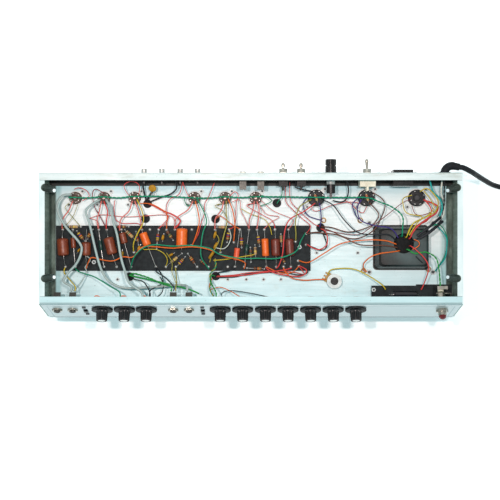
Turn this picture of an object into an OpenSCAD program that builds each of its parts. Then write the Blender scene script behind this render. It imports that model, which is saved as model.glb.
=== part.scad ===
// Guitar amplifier head: the bare chassis, open side up, standing on its transformers.
// Millimetres. X runs along the control panel, Y towards the rear, Z up from the table.

/* [Chassis] */
// Width of the chassis over its end plates
chassis_w = 612; // [604:1:630]
// Height of the chassis from its underside to its open rim
chassis_h = 63.5; // [62:0.5:72]
// Depth of the open rim from front to rear
rim_depth = 190; // [188:0.5:198]
// How far the control panel's foot stands in front of its top edge
panel_lean = 23; // [21:0.5:25]
// Thickness of the chassis sheet
sheet_t = 1.5; // [1.2:0.1:1.8]
// Outside radius of the chassis bends
bend_r = 2.5; // [2:0.1:4]
// Width of the front and rear rim flanges
long_flange = 11; // [9:0.5:12]
// Width of the end plates' rim flanges
end_flange = 8.5; // [7:0.5:10]
// Height of the chassis underside above the table
stand_h = 88; // [86:1:96]
// Diameter of the four chassis bolt holes
bolt_hole_d = 5.2; // [4.2:0.1:6]
// Distance from the end faces to the chassis bolts
bolt_inset = 8.8; // [8:0.1:10]
// Distance from the rear face to the rear chassis bolts
bolt_rear = 21.8; // [20:0.2:24]
// Distance between the front and rear chassis bolts
bolt_pitch = 131; // [126:0.5:134]

/* [Control panel] */
// Thickness of the control plate
plate_t = 1; // [0.8:0.1:1.5]
// Bare margin at the control plate's ends and long edges
plate_margin = 2.5; // [1.5:0.1:3]
// Height of the knob row up the leaning panel
knob_row = 46.5; // [45:0.5:48]
// Height of the jack row up the leaning panel
jack_row = 43.5; // [42:0.5:46]
// Height of the slide switches up the leaning panel
slide_row = 39; // [37:0.5:41]
// Diameter of the knob skirts
knob_d = 31; // [28:0.5:32]
// Height of a knob from its skirt to its cap
knob_h = 18.2; // [16:0.1:20]
// Diameter of a knob's fluted grip at its foot
grip_d = 17; // [16:0.5:18]
// Diameter of a knob's metal cap
cap_d = 11.5; // [10:0.5:12]
// Number of flutes round a knob
flutes = 20; // [16:1:24]
// Diameter of the control shafts
shaft_d = 6.3; // [6:0.05:6.4]
// Diameter of the potentiometer cans
pot_d = 24; // [22:0.5:25]
// Depth of the potentiometer cans
pot_l = 13; // [11:0.5:14]
// Diameter of the jack bores
jack_bore_d = 6.5; // [6.4:0.05:6.7]
// Travel of the slide switches
slide_travel = 4; // [3:0.5:5]

/* [Rear panel] */
// Height of the rear row above the chassis underside
rear_row = 30; // [28:0.5:33]
// Length of the bat levers outside the chassis
bat_reach = 17; // [15:0.5:18]
// Length of the power lever outside the chassis
power_reach = 23; // [20:0.5:23]
// Throw of the toggle levers in degrees
toggle_throw = 24; // [20:1:26]
// Diameter of the fuse cap
fuse_cap_d = 16.2; // [15:0.2:17]

/* [Sockets and tubes] */
// Distance from the rear face to the row of tube sockets
socket_inset = 33.5; // [32:0.5:34]
// Diameter of the nine-pin socket bodies
noval_d = 18.4; // [17.5:0.1:19]
// Diameter of the eight-pin socket bodies
octal_d = 25; // [24:0.2:26]
// Length of the preamp tubes' glass
preamp_l = 45; // [40:1:48]
// Length of the tube shields
shield_l = 50; // [49:1:54]
// Length of the eight-pin tubes below their sockets
octal_l = 74; // [68:1:76]

/* [Component board] */
// Length of the component board
board_w = 383; // [378:1:388]
// Depth of the component board
board_d = 68; // [66:1:70]
// Thickness of the component board
board_t = 3.2; // [2.4:0.1:4]
// Thickness of the insulating sheet under the board
sheet_under = 1.6; // [1:0.1:2.4]
// Distance between the two long rows of eyelets
eyelet_rows = 56; // [55:0.5:57]
// Diameter of the hook-up wire over its insulation
wire_d = 1.8; // [1.4:0.1:1.8]

/* [Transformers] */
// Width of the power transformer's laminations
mains_core_w = 114; // [113:1:118]
// Depth of the power transformer's laminations
mains_core_d = 95; // [93:1:98]
// Height of the power transformer's lamination stack
mains_stack = 52; // [44:1:56]
// Height of the power transformer's bell inside the chassis
inner_bell_h = 28; // [26:0.5:29]
// Width of the output transformer's laminations
output_core_w = 86; // [82:1:88]
// Height of the output transformer's lamination stack
output_stack = 46; // [40:1:50]
// Depth of the filter capacitor cover below the chassis
filter_pan_h = 42; // [36:1:46]

/* [Mains cord] */
// Diameter of the mains cord
cord_d = 8; // [7:0.1:8]
// Turns of the put-away coil in each of its two layers
coil_turns = 3.5; // [3:0.5:3.5]
// Radius of the put-away coil at its innermost turn
coil_in = 32; // [32:0.5:34]

/* [Hidden] */
$fn = 48;

// Clearances: between fixed pieces, round a turning shaft, and between pieces that move
fit_gap = 0.2;
run_gap = 0.05;
move_gap = 0.4;

// Main planes, with the origin midway between the knob faces and the power lever's tip
lean = atan(panel_lean / chassis_h);
panel_l = chassis_h / cos(lean);
knob_lift = plate_t + 0.9;
knob_top = knob_lift + knob_h;
grip_top_d = grip_d - 2.2;
front_reach = panel_lean - knob_row * sin(lean) + knob_top * cos(lean) + grip_top_d / 2 * sin(lean);
rear_y = (rim_depth + front_reach - power_reach) / 2;
front_y = rear_y - rim_depth;
foot_y = front_y - panel_lean;
z_in = stand_h + sheet_t;
z_rim = stand_h + chassis_h;
half_w = chassis_w / 2;
socket_y = rear_y - socket_inset;

// The floor is laid out with the rear wall at y = 100, and moves with that wall
lay = rear_y - 100;
row_y = socket_y - lay;
function laid(p) = [for (q = p) q + [0, lay]];

// Places along the panels and on the floor, as laid out in the chassis
// The controls count from the panel's left end, the lamp and the cord from the right one
knob_x = [for (d = [88.5, 121, 153, 261, 293.8, 327, 360, 393, 426, 459]) d - half_w];
jack_x = [for (d = [22, 44.6, 192, 215]) d - half_w];
slide_x = [for (d = [63, 235]) d - half_w];
pilot_x = half_w - 26;
phono_x = [-158, -131.7, -104.7, -79];
speaker_x = [-12, 14.3];
bat_x = [47.5, 74];
fuse_x = 118;
power_x = 171.5;
outlet_x = 223;
cord_x = half_w - 20;
noval_x = [-264, -221, -175, -85, -39, 7];
octal_x = [98, 173.5, 249];
grommet_at = laid([[-156, 58], [-159, 35.5], [-53.5, 35], [39, 59], [105, 22], [-183, -52], [-53, -51]]);
bias_at = [125, lay - 58.5];
board_x = -102;
board_y = lay - 9;
board_z = z_in + sheet_under + board_t;
bias_board_at = [226, lay - 76];
bias_board = [92, 22, 2.4];
filter_at = [-118, lay - 22];
filter_size = [156, 96];
mains_at = [226, lay - 8];
output_at = [19, lay - 11];
choke_at = [130, lay - 16];
reverb_at = [-246, lay - 8];

// Fastener sizes
screw_d = 3.2;
screw_head_d = 5.6;
nut_af = 5.6;
screw_hole_d = screw_d + 2 * fit_gap;
thread_d = 9.4;
thread_hole_d = thread_d + 2 * fit_gap;
nut_h = 2.4;
big_nut_af = 13;
noval_screw = 14.3;
octal_screw = 19;
mains_bolt = [mains_core_w - 18, mains_core_d - 21];
choke_pitch = 62;
reverb_pitch = 50;
output_ear = 45;
noval_lug_h = 5;
socket_plate_t = 0.8;
grommet_d = 13;
grommet_bore_d = 8;

// Vector helpers
function unit(v) = v / norm(v);
function bend(a, p, b, r, steps = 4) =
    let (u = unit(a - p), v = unit(b - p), reach = r / tan(acos(u * v) / 2))
    let (s = p + reach * u, e = p + reach * v)
    [for (i = [0 : steps]) let (t = i / steps) (1 - t) * (1 - t) * s + 2 * t * (1 - t) * p + t * t * e];
function rounded(p, r) =
    [p[0], for (i = [1 : len(p) - 2]) each bend(p[i - 1], p[i], p[i + 1], r), p[len(p) - 1]];
function panel_point(x, u, w) =
    [x, foot_y + u * sin(lean) - w * cos(lean), stand_h + u * cos(lean) + w * sin(lean)];
function corners(pitch) = [for (sx = [-1, 1], sy = [-1, 1]) [sx * pitch[0] / 2, sy * pitch[1] / 2]];

// A point on the leaning panel, with Z out of it and Y up it
module on_panel(x, u) {
    translate(panel_point(x, u, 0))
        rotate([90 - lean, 0, 0])
            children();
}

// A point on the rear wall, with Z out of it and Y up
module on_rear(x, h = rear_row) {
    translate([x, rear_y, stand_h + h])
        rotate([90, 0, 180])
            children();
}

module on_floor(p) {
    translate([p[0], p[1], z_in])
        children();
}

module under_floor(p) {
    translate([p[0], p[1], stand_h])
        rotate([180, 0, 0])
            children();
}

// A rod between two points
module rod(p, q, d) {
    v = q - p;
    translate(p)
        rotate([0, acos(v[2] / norm(v)), atan2(v[1], v[0])])
            cylinder(d = d, h = norm(v), $fn = 16);
}

module block(size, z0 = 0) {
    translate([-size[0] / 2, -size[1] / 2, z0])
        cube(size);
}

module hex(af, h) {
    cylinder(d = af / cos(30), h = h, $fn = 6);
}

// Folded sheet: outer and inner faces of the pan's section in Y and Z
function lean_y(z) = foot_y + (z - stand_h) * panel_lean / chassis_h;
outer_chain = [
    [rear_y - long_flange, z_rim], [rear_y, z_rim], [rear_y, stand_h],
    [foot_y, stand_h], [front_y, z_rim], [front_y + long_flange, z_rim]
];
inner_lean = sheet_t / cos(lean);
inner_chain = [
    [front_y + long_flange, z_rim - sheet_t], [lean_y(z_rim - sheet_t) + inner_lean, z_rim - sheet_t],
    [lean_y(z_in) + inner_lean, z_in], [rear_y - sheet_t, z_in],
    [rear_y - sheet_t, z_rim - sheet_t], [rear_y - long_flange, z_rim - sheet_t]
];
bolt_y = [rear_y - bolt_rear, rear_y - bolt_rear - bolt_pitch];
bolt_x = half_w - bolt_inset;

module across(length) {
    translate([-length / 2, 0, 0])
        rotate([90, 0, 90])
            linear_extrude(length)
                children();
}

module floor_hole(p, d) {
    translate([p[0], p[1], stand_h - 1])
        cylinder(d = d, h = sheet_t + 2);
}

// The four corner bolts of the power transformer and the floor screws of the sockets
mains_bolts = [for (c = corners(mains_bolt)) mains_at + c];
function diagonal(at, reach) = [for (s = [-1, 1]) at + s * reach * [cos(45), sin(45)]];
socket_screws = [
    for (x = noval_x) each diagonal([x, socket_y], noval_screw),
    for (x = octal_x) each diagonal([x, socket_y], octal_screw)
];
board_screws = laid([[73, -7.5], [-236, -30]]);
bias_screws = laid([[183, -71]]);
output_screws = [for (x = [-26, 0, 26]) output_at + [x, -output_ear]];
choke_screws = [for (s = [-1, 1]) choke_at + [s * choke_pitch / 2, 0]];
reverb_screws = [for (s = [-1, 1]) reverb_at + [s * reverb_pitch / 2, 0]];
filter_screws = [for (s = [-1, 1]) filter_at + [s * (filter_size[0] / 2 + 5), -34]];

module floor_holes() {
    for (x = noval_x)
        floor_hole([x, socket_y], noval_d + 2 * fit_gap);
    for (x = octal_x)
        floor_hole([x, socket_y], octal_d + 2 * fit_gap);
    for (p = grommet_at)
        floor_hole(p, grommet_d - 3);
    for (x = [-bolt_x, bolt_x], y = bolt_y)
        floor_hole([x, y], bolt_hole_d);
    for (p = concat(socket_screws, board_screws, bias_screws, choke_screws, reverb_screws))
        floor_hole(p, screw_hole_d);
    for (p = concat(output_screws, filter_screws))
        floor_hole(p, screw_hole_d);
    for (p = mains_bolts)
        floor_hole(p, 5);
    floor_hole(bias_at, thread_hole_d);
    translate([mains_at[0], mains_at[1], stand_h - 1])
        block([76, 60, sheet_t + 2]);
}

rear_holes = [
    for (x = phono_x) [x, 8.6],
    for (x = speaker_x) [x, thread_hole_d],
    for (x = bat_x) [x, 12.2],
    [power_x, 12.2], [fuse_x, 13], [cord_x, 14]
];
panel_holes = [for (x = knob_x) [x, knob_row], for (x = jack_x) [x, jack_row]];
slide_slot = [6.6, 13];
slide_pitch = 33;
pilot_thread_d = 12;

// Holes through the leaning wall and the control plate
module panel_cuts() {
    for (p = panel_holes)
        on_panel(p[0], p[1])
            translate([0, 0, -5])
                cylinder(d = thread_hole_d, h = 10);
    for (x = slide_x)
        on_panel(x, slide_row) {
            block([slide_slot[0], slide_slot[1], 10], -5);
            for (s = [-1, 1])
                translate([0, s * slide_pitch / 2, -5])
                    cylinder(d = screw_hole_d, h = 10);
        }
    on_panel(pilot_x, jack_row)
        translate([0, 0, -5])
            cylinder(d = pilot_thread_d + 2 * fit_gap, h = 10);
}

outlet_body = [29, 25];
outlet_pitch = 40;

module chassis_pan() {
    color("gainsboro")
        difference() {
            across(chassis_w - 2 * sheet_t)
                polygon(concat(rounded(outer_chain, bend_r), rounded(inner_chain, bend_r - sheet_t)));
            floor_holes();
            panel_cuts();
            for (h = rear_holes)
                on_rear(h[0])
                    translate([0, 0, -5])
                        cylinder(d = h[1], h = 10);
            on_rear(outlet_x) {
                block([outlet_body[0] + 2 * fit_gap, outlet_body[1] + 2 * fit_gap, 10], -5);
                for (s = [-1, 1])
                    translate([s * outlet_pitch / 2, 0, -5])
                        cylinder(d = screw_hole_d, h = 10);
            }
        }
}

// The two end plates, with notched flanges that lie between the long flanges
notch_r = 5.6;
seam = 0.4;

module end_plate() {
    difference() {
        union() {
            translate([half_w - sheet_t, 0, 0])
                rotate([90, 0, 90])
                    linear_extrude(sheet_t)
                        polygon(rounded([for (i = [1 : 4]) outer_chain[i]], bend_r));
            translate([half_w - end_flange, front_y + long_flange + seam, z_rim - sheet_t])
                cube([end_flange - sheet_t / 2, rim_depth - 2 * long_flange - 2 * seam, sheet_t]);
        }
        for (y = bolt_y)
            translate([bolt_x, y, z_rim - sheet_t - 1])
                cylinder(r = notch_r, h = sheet_t + 2);
    }
}

module end_plates() {
    color("gainsboro") {
        end_plate();
        mirror([1, 0, 0])
            end_plate();
    }
}

module control_plate() {
    color("silver")
        difference() {
            on_panel(0, panel_l / 2)
                block([chassis_w - 2 * plate_margin, panel_l - 2 * plate_margin, plate_t]);
            panel_cuts();
        }
}

// Boards, eyelets and the parts on the component board
eyelet_top_x = [
    -283, -268, -229, -217, -195, -164, -152, -139, -127, -114.5, -89, -54, -33, -17, -3, 9, 20, 36, 56
];
eyelet_low_x = [-279, -264, -247, -221, -202, -180, -143, -128, -113, -81, -64, -35, -24, -10, 23, 38, 60];
eyelet_end = laid([
    [83, 13], [83, -4], [72, -36], [-90, -5], [-26, 0], [49, -37], [71, -28], [-176, -15], [-46, -15], [67, 1]
]);
eyelet_d = 4.6;
eyelet_bore_d = 2.2;
eyelets = [
    for (x = eyelet_top_x) [x, board_y + eyelet_rows / 2],
    for (x = eyelet_low_x) [x, board_y - eyelet_rows / 2],
    each eyelet_end
];

module component_boards() {
    color([0.12, 0.13, 0.14]) {
        difference() {
            translate([board_x, board_y, z_in])
                block([board_w, board_d, sheet_under]);
            for (p = board_screws)
                on_floor(p)
                    translate([0, 0, -1])
                        cylinder(d = screw_hole_d, h = 20);
        }
        difference() {
            translate([board_x, board_y, z_in + sheet_under])
                block([board_w, board_d, board_t]);
            for (p = eyelets)
                on_floor(p)
                    translate([0, 0, -1])
                        cylinder(d = eyelet_d - 1.4 + 2 * run_gap, h = 20);
            for (p = board_screws)
                on_floor(p)
                    translate([0, 0, -1])
                        cylinder(d = screw_hole_d, h = 20);
        }
        difference() {
            on_floor(bias_board_at)
                translate([0, 0, 12])
                    block(bias_board);
            for (p = bias_screws)
                on_floor(p)
                    translate([0, 0, -1])
                        cylinder(d = screw_hole_d, h = 40);
        }
        translate([pilot_x - 4, lay - 81, z_in])
            block([54, 34.6, sheet_under]);
        difference() {
            under_floor(filter_at)
                block([filter_size[0] - 12, filter_size[1] - 12, 2]);
            for (p = grommet_at)
                under_floor(p)
                    translate([0, 0, -1])
                        cylinder(d = grommet_d + 2, h = 6);
        }
    }
}

module board_eyelets() {
    color("silver")
        for (p = eyelets)
            translate([p[0], p[1], board_z])
                difference() {
                    union() {
                        cylinder(d = eyelet_d, h = 0.7);
                        translate([0, 0, run_gap - board_t])
                            cylinder(d = eyelet_d - 1.4, h = board_t);
                    }
                    translate([0, 0, -board_t / 2])
                        cylinder(d = eyelet_bore_d, h = board_t);
                }
}

// A part lying on the board: its body between two solder points, and its leads
// Each entry: x1, y1, x2, y2, body length, body diameter, place of the body along the line
part_lift = 0.25;
lead_d = 0.8;
lead_z = board_z + 0.9;

module axial(e, base = board_z, lead_drop = lead_z) {
    a = [e[0], e[1] + lay, 0];
    b = [e[2], e[3] + lay, 0];
    along = unit(b - a);
    lift = [0, 0, base + part_lift + e[5] / 2];
    centre = a + e[6] * (b - a) + lift;
    ends = [centre - along * e[4] / 2, centre + along * e[4] / 2];
    union() {
        rod(ends[0], ends[1], e[5], $fn = 32);
        rod(ends[0] + along * 0.5, a + [0, 0, lead_drop + lead_d], lead_d);
        rod(ends[1] - along * 0.5, b + [0, 0, lead_drop + lead_d], lead_d);
    }
}

moulded = [
    [-283, 19, -279, -37, 27, 17, 0.47], [-268, 19, -264, -37, 16, 7.5, 0.36],
    [-247, 19, -247, -37, 21, 15, 0.52], [-217, 19, -202, -37, 27, 15.5, 0.44],
    [-195, 19, -180, -37, 17, 10.5, 0.23], [36, 19, 38, -37, 27, 13.5, 0.48],
    [56, 19, 60, -37, 27, 13.5, 0.48]
];
film = [
    [-164, 19, -143, -37, 21, 12, 0.26], [-103, 23, -104, -12, 30, 16.5, 0.49],
    [20, 19, 23, -37, 27, 10.5, 0.48], [-17, 19, -24, -37, 19, 8.5, 0.66]
];

module moulded_capacitors() {
    color("sienna")
        for (e = moulded)
            axial(e);
}

module film_capacitors() {
    color("darkorange")
        for (e = film)
            axial(e);
}

// Disc capacitors stand on edge: x, y, diameter, thickness, turn
discs = [
    [-132, 7, 9, 4, 80], [-54, 11, 12, 4, 75], [-53, -5, 12, 4, 60], [-59, -19, 15, 4.5, 55],
    [-120, -19, 8, 3.5, 30], [-258, -12, 7, 3, 50], [-193, -17, 8, 4, 90], [-168, -9, 8, 4, 70]
];

module disc_capacitors() {
    color("goldenrod")
        for (c = discs)
            translate([c[0], c[1] + lay, board_z + part_lift + c[2] / 2])
                rotate([0, 90, c[4] - 90])
                    translate([0, 0, -c[3] / 2])
                        cylinder(d = c[2], h = c[3]);
}

bias_electrolytic = [206, -78, 250, -78, 36, 11, 0.5];
filter_can = [22, 60, 27];

module electrolytic_capacitors() {
    color([0.1, 0.22, 0.18]) {
        axial([-229, 19, -221, -37, 15, 6, 0.42]);
        axial([-3, 19, -10, -37, 14, 6, 0.52]);
    }
    color([0.1, 0.1, 0.11])
        axial(bias_electrolytic, z_in + 12 + bias_board[2], z_in + 12 + bias_board[2] + part_lift);
    color("steelblue")
        for (i = [-2 : 2])
            under_floor(filter_at + [i * filter_can[2], 6])
                translate([0, filter_can[1] / 2, 2 + part_lift + filter_can[0] / 2])
                    rotate([90, 0, 0])
                        cylinder(d = filter_can[0], h = filter_can[1]);
}

resistor_at = [
    [-277, 23.2, -256, 23.2, 13, 4.4, 0.5], [-262, 17, -250, 2, 13, 5, 0.5], [-238, 19, -246, 5, 11.5, 5, 0.5],
    [-205, 23.2, -184, 23.2, 13, 4.4, 0.5], [-190, 19, -173, 3, 13, 5, 0.45], [-173, 16, -169, -4, 11, 4, 0.5],
    [-139, 18, -142, -10, 12, 4.6, 0.4], [-127, 18, -117, 3, 12, 5, 0.45], [-127, -36, -104, -17, 12, 4.6, 0.5],
    [-111, -36, -99, -22, 11, 4.6, 0.5], [-82, -36, -95, -17, 12, 4.6, 0.5], [-65, -36, -76, -27, 9, 4.4, 0.6],
    [-51, 22.6, -37, 22.6, 9, 4.4, 0.5], [-33, 18, -36, 0, 12, 5, 0.5], [-15, 18, -14, -8, 12, 5, 0.65],
    [-1, -8, 0, -30, 11, 4.4, 0.4], [6, -4, 7, -24, 11, 4.4, 0.45], [9, 18, 13, -6, 12, 4.6, 0.6],
    [-6, -39, 20, -40, 12, 4.4, 0.62], [46, -22, 51, -32, 8, 4, 0.5], [45, 12, 46, -6, 10, 4.2, 0.4]
];

module resistors() {
    color("tan")
        for (e = resistor_at)
            axial(e);
}

// Tube sockets with pin holes, lugs and a saddle held by two screws
noval = [9, 5.95, 1.1];
octal = [8, 8.75, 2.4];
noval_drop = 4;
octal_drop = 3;
noval_top = 8;
octal_top = 9;

function pin_angle(kind, i) = 90 + (i + 0.5) * 360 / (kind[0] + (kind[0] == 9 ? 1 : 0));

module socket(kind, d, drop, top, reach, core_d) {
    difference() {
        union() {
            translate([0, 0, -sheet_t - drop])
                cylinder(d = d, h = sheet_t + drop + top);
            cylinder(d = d + 4, h = socket_plate_t);
            rotate(45)
                block([2 * reach + 7, 7, socket_plate_t]);
            for (i = [0 : kind[0] - 1])
                rotate(pin_angle(kind, i))
                    translate([d / 2 - 2.2, 0, top - 1])
                        block([0.8, 2.4, noval_lug_h + 1]);
        }
        for (i = [0 : kind[0] - 1])
            rotate(pin_angle(kind, i))
                translate([kind[1], 0, -sheet_t - drop - 1])
                    cylinder(d = kind[2] + 2 * fit_gap, h = sheet_t + drop + 6, $fn = 16);
        translate([0, 0, -sheet_t - drop - 1])
            cylinder(d = core_d, h = 60, center = true);
        for (s = [-1, 1])
            rotate(45)
                translate([s * reach, 0, -1])
                    cylinder(d = screw_hole_d, h = 5);
    }
}

spigot_d = 7.8;

module noval_sockets() {
    color([0.25, 0.2, 0.17])
        for (x = noval_x)
            on_floor([x, socket_y])
                socket(noval, noval_d, noval_drop, noval_top, noval_screw, 3);
}

module octal_sockets() {
    color([0.1, 0.1, 0.1])
        for (x = octal_x)
            on_floor([x, socket_y])
                socket(octal, octal_d, octal_drop, octal_top, octal_screw, spigot_d + 2 * fit_gap);
}

// Tubes hang below the floor, drawn here with Z down from the underside
preamp_r = 10.8;
tube_seat = 0.3;

module preamp_tubes() {
    color([0.75, 0.85, 0.85, 0.6])
        for (x = noval_x)
            under_floor([x, socket_y]) {
                translate([0, 0, noval_drop + tube_seat])
                    rotate_extrude()
                        polygon([
                            [0, 0], [preamp_r - 1, 0], [preamp_r, 1], [preamp_r, preamp_l - 7],
                            [preamp_r - 2, preamp_l - 3], [3, preamp_l - 1], [0, preamp_l]
                        ]);
                for (i = [0 : noval[0] - 1])
                    rotate(-pin_angle(noval, i))
                        translate([noval[1], 0, noval_drop + tube_seat - 6])
                            cylinder(d = noval[2], h = 6.5, $fn = 16);
            }
}

shield_t = 0.6;
shield_d = 2 * (preamp_r + 0.5 + shield_t);
shield_drop = 2.4;

module tube_shields() {
    color("silver")
        for (x = noval_x)
            under_floor([x, socket_y])
                difference() {
                    translate([0, 0, shield_drop])
                        cylinder(d = shield_d, h = shield_l);
                    translate([0, 0, shield_drop - 1])
                        cylinder(d = shield_d - 2 * shield_t, h = shield_l + 1 - shield_t);
                    cylinder(d = 10, h = shield_l + 5);
                }
}

octal_base_d = 32.6;
octal_base_h = 20;
octal_glass_r = 18.4;

module octal_tubes() {
    color([0.2, 0.2, 0.22])
        for (x = octal_x)
            under_floor([x, socket_y]) {
                translate([0, 0, octal_drop + tube_seat])
                    rotate_extrude()
                        polygon([
                            [0, 0], [octal_base_d / 2, 0], [octal_base_d / 2, octal_base_h],
                            [octal_base_d / 2 - 1, octal_base_h], [octal_glass_r, octal_base_h + 8],
                            [octal_glass_r, octal_l - 14], [octal_glass_r - 3, octal_l - 6],
                            [octal_glass_r - 9, octal_l - 1], [0, octal_l]
                        ]);
                translate([0, 0, octal_drop + tube_seat - 12])
                    cylinder(d = spigot_d, h = 12.5);
                for (i = [0 : octal[0] - 1])
                    rotate(-pin_angle(octal, i))
                        translate([octal[1], 0, octal_drop + tube_seat - 4])
                            cylinder(d = octal[2], h = 4.5, $fn = 16);
            }
}

// Spring retainers: a ring under the floor with two arms beside the tube's base
retainer_d = 44;
retainer_t = 0.8;

module tube_retainers() {
    color("lightgray")
        for (x = octal_x)
            under_floor([x, socket_y])
                difference() {
                    union() {
                        cylinder(d = retainer_d, h = retainer_t);
                        for (s = [-1, 1])
                            translate([s * (octal_base_d / 2 + fit_gap + retainer_t / 2), 0, 0])
                                block([retainer_t, 9, octal_base_h + octal_drop]);
                    }
                    translate([0, 0, -1])
                        cylinder(d = octal_d + 2 * fit_gap, h = retainer_t + 2);
                    for (p = diagonal([0, 0], octal_screw))
                        translate([p[0], -p[1], -1])
                            cylinder(d = screw_hole_d, h = retainer_t + 2);
                }
}

// Power transformer: laminations under the floor, a bell on each side
bell_flange_t = 1.5;
outer_bell_h = stand_h - mains_stack;

module slab(w, d, r, h) {
    linear_extrude(h)
        hull()
            for (c = corners([w - 2 * r, d - 2 * r]))
                translate(c)
                    circle(r, $fn = 24);
}

module bell(w, d, h, taper, r) {
    hull() {
        slab(w, d, r, 1);
        translate([0, 0, h - 3])
            slab(w - taper, d - taper, r, 1);
        translate([0, 0, h - 1])
            slab(w - taper - 6, d - taper - 6, r, 1);
    }
}

module power_transformer_core() {
    color([0.3, 0.3, 0.32])
        difference() {
            under_floor(mains_at)
                block([mains_core_w, mains_core_d, mains_stack]);
            for (p = mains_bolts)
                under_floor(p)
                    translate([0, 0, -1])
                        cylinder(d = 5, h = mains_stack + 2);
        }
    color([0.35, 0.25, 0.15])
        translate([mains_at[0], mains_at[1], stand_h])
            block([64, 48, 18]);
}

lead_hole_r = 15;
lead_hole_y = 6;
inner_bell = [84, 68];

module power_transformer_bells() {
    color([0.1, 0.1, 0.1]) {
        difference() {
            on_floor(mains_at) {
                slab(inner_bell[0], inner_bell[1], 6, bell_flange_t);
                bell(inner_bell[0] - 3, inner_bell[1] - 3, inner_bell_h, 8, 6);
            }
            on_floor(mains_at) {
                translate([0, 0, -1])
                    bell(inner_bell[0] - 6, inner_bell[1] - 6, inner_bell_h - 0.5, 8, 5);
                translate([0, lead_hole_y, inner_bell_h - 6])
                    cylinder(r = lead_hole_r, h = 20, $fn = 32);
            }
        }
        difference() {
            under_floor(mains_at)
                translate([0, 0, mains_stack]) {
                    slab(mains_core_w, mains_core_d, 4, bell_flange_t);
                    bell(mains_core_w - 28, mains_core_d - 28, outer_bell_h, 8, 8);
                }
            for (p = mains_bolts)
                under_floor(p)
                    translate([0, 0, mains_stack - 1])
                        cylinder(d = 5, h = bell_flange_t + 2, $fn = 24);
        }
    }
}

// Output transformer: laminations between two bells, hung from the floor by ears
output_core_d = 72;

module output_transformer() {
    upper = (stand_h - output_stack) / 2;
    color([0.3, 0.3, 0.32])
        under_floor(output_at)
            translate([0, 0, upper])
                block([output_core_w, output_core_d, output_stack]);
    color([0.12, 0.12, 0.12]) {
        under_floor(output_at)
            difference() {
                union() {
                    block([output_core_w, output_core_d, upper]);
                    translate([0, output_ear - 4, 0])
                        block([66, 20, 2]);
                }
                for (x = [-26, 0, 26])
                    translate([x, output_ear, -1])
                        cylinder(d = screw_hole_d, h = 4);
            }
        under_floor(output_at)
            translate([0, 0, upper + output_stack])
                bell(output_core_w, output_core_d, upper, 10, 6);
    }
}

// A small frame transformer: strap with ears, laminations and coil
module frame_transformer(core, pitch) {
    strap_t = 1.2;
    difference() {
        union() {
            block([pitch + 10, core[1] * 0.6, strap_t]);
            difference() {
                block([core[0] + 2 * strap_t, core[1] * 0.6, core[2] + 2 * strap_t]);
                translate([0, 0, strap_t])
                    block([core[0], core[1], core[2]]);
            }
        }
        for (s = [-1, 1])
            translate([s * pitch / 2, 0, -1])
                cylinder(d = screw_hole_d, h = 5);
    }
    translate([0, 0, strap_t])
        block(core);
}

module small_transformers() {
    color([0.3, 0.3, 0.32]) {
        under_floor(choke_at)
            frame_transformer([50, 44, 40], choke_pitch);
        under_floor(reverb_at)
            frame_transformer([36, 34, 32], reverb_pitch);
    }
}

// Cover over the filter capacitors under the floor
pan_t = 1;

module filter_capacitor_pan() {
    color("gainsboro")
        under_floor(filter_at)
            difference() {
                union() {
                    block([filter_size[0], filter_size[1], filter_pan_h]);
                    translate([0, 34, 0])
                        block([filter_size[0] + 22, 18, pan_t]);
                }
                translate([0, 0, -1])
                    block([filter_size[0] - 2 * pan_t, filter_size[1] - 2 * pan_t, filter_pan_h + 1 - pan_t]);
                for (s = [-1, 1])
                    translate([s * (filter_size[0] / 2 + 5), 34, -1])
                        cylinder(d = screw_hole_d, h = 4);
            }
}

// Potentiometers behind the leaning wall
pot_face = -sheet_t - fit_gap;
thread_top = plate_t + 4.6;
shaft_depth = 9;

module pot_body(lugs) {
    difference() {
        union() {
            translate([0, 0, pot_face - pot_l])
                cylinder(d = pot_d, h = pot_l);
            translate([0, 0, pot_face - 1])
                cylinder(d = thread_d, h = thread_top - pot_face + 1);
            for (i = [-1 : 1])
                translate([i * 6 - 1.6, lugs ? 8 : 0, pot_face - 4])
                    cube([3.2, pot_d / 2 - 1, 0.9]);
        }
        translate([0, 0, pot_face - shaft_depth])
            cylinder(d = shaft_d + 2 * run_gap, h = 60);
    }
}

module pot_bodies() {
    color("lightgray")
        for (x = knob_x)
            on_panel(x, knob_row)
                pot_body(true);
}

module ring_nut(af, bore, h) {
    difference() {
        union() {
            cylinder(d = af * 1.17, h = 0.6);
            hex(af, h);
        }
        translate([0, 0, -1])
            cylinder(d = bore, h = h + 2);
    }
}

module panel_nuts() {
    color("silver") {
        for (p = panel_holes)
            on_panel(p[0], p[1])
                translate([0, 0, plate_t])
                    ring_nut(big_nut_af, thread_d + 2 * run_gap, nut_h);
        for (x = speaker_x)
            on_rear(x)
                ring_nut(big_nut_af, thread_d + 2 * run_gap, nut_h);
        for (x = concat(bat_x, [power_x]))
            on_rear(x)
                ring_nut(14.2, 11.8 + 2 * run_gap, nut_h);
        under_floor(bias_at)
            ring_nut(big_nut_af, thread_d + 2 * run_gap, nut_h);
    }
}

// Quarter-inch jacks: threaded bush, frame and contact leaf
jack_proud = 4;
jack_frame = 23;

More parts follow.
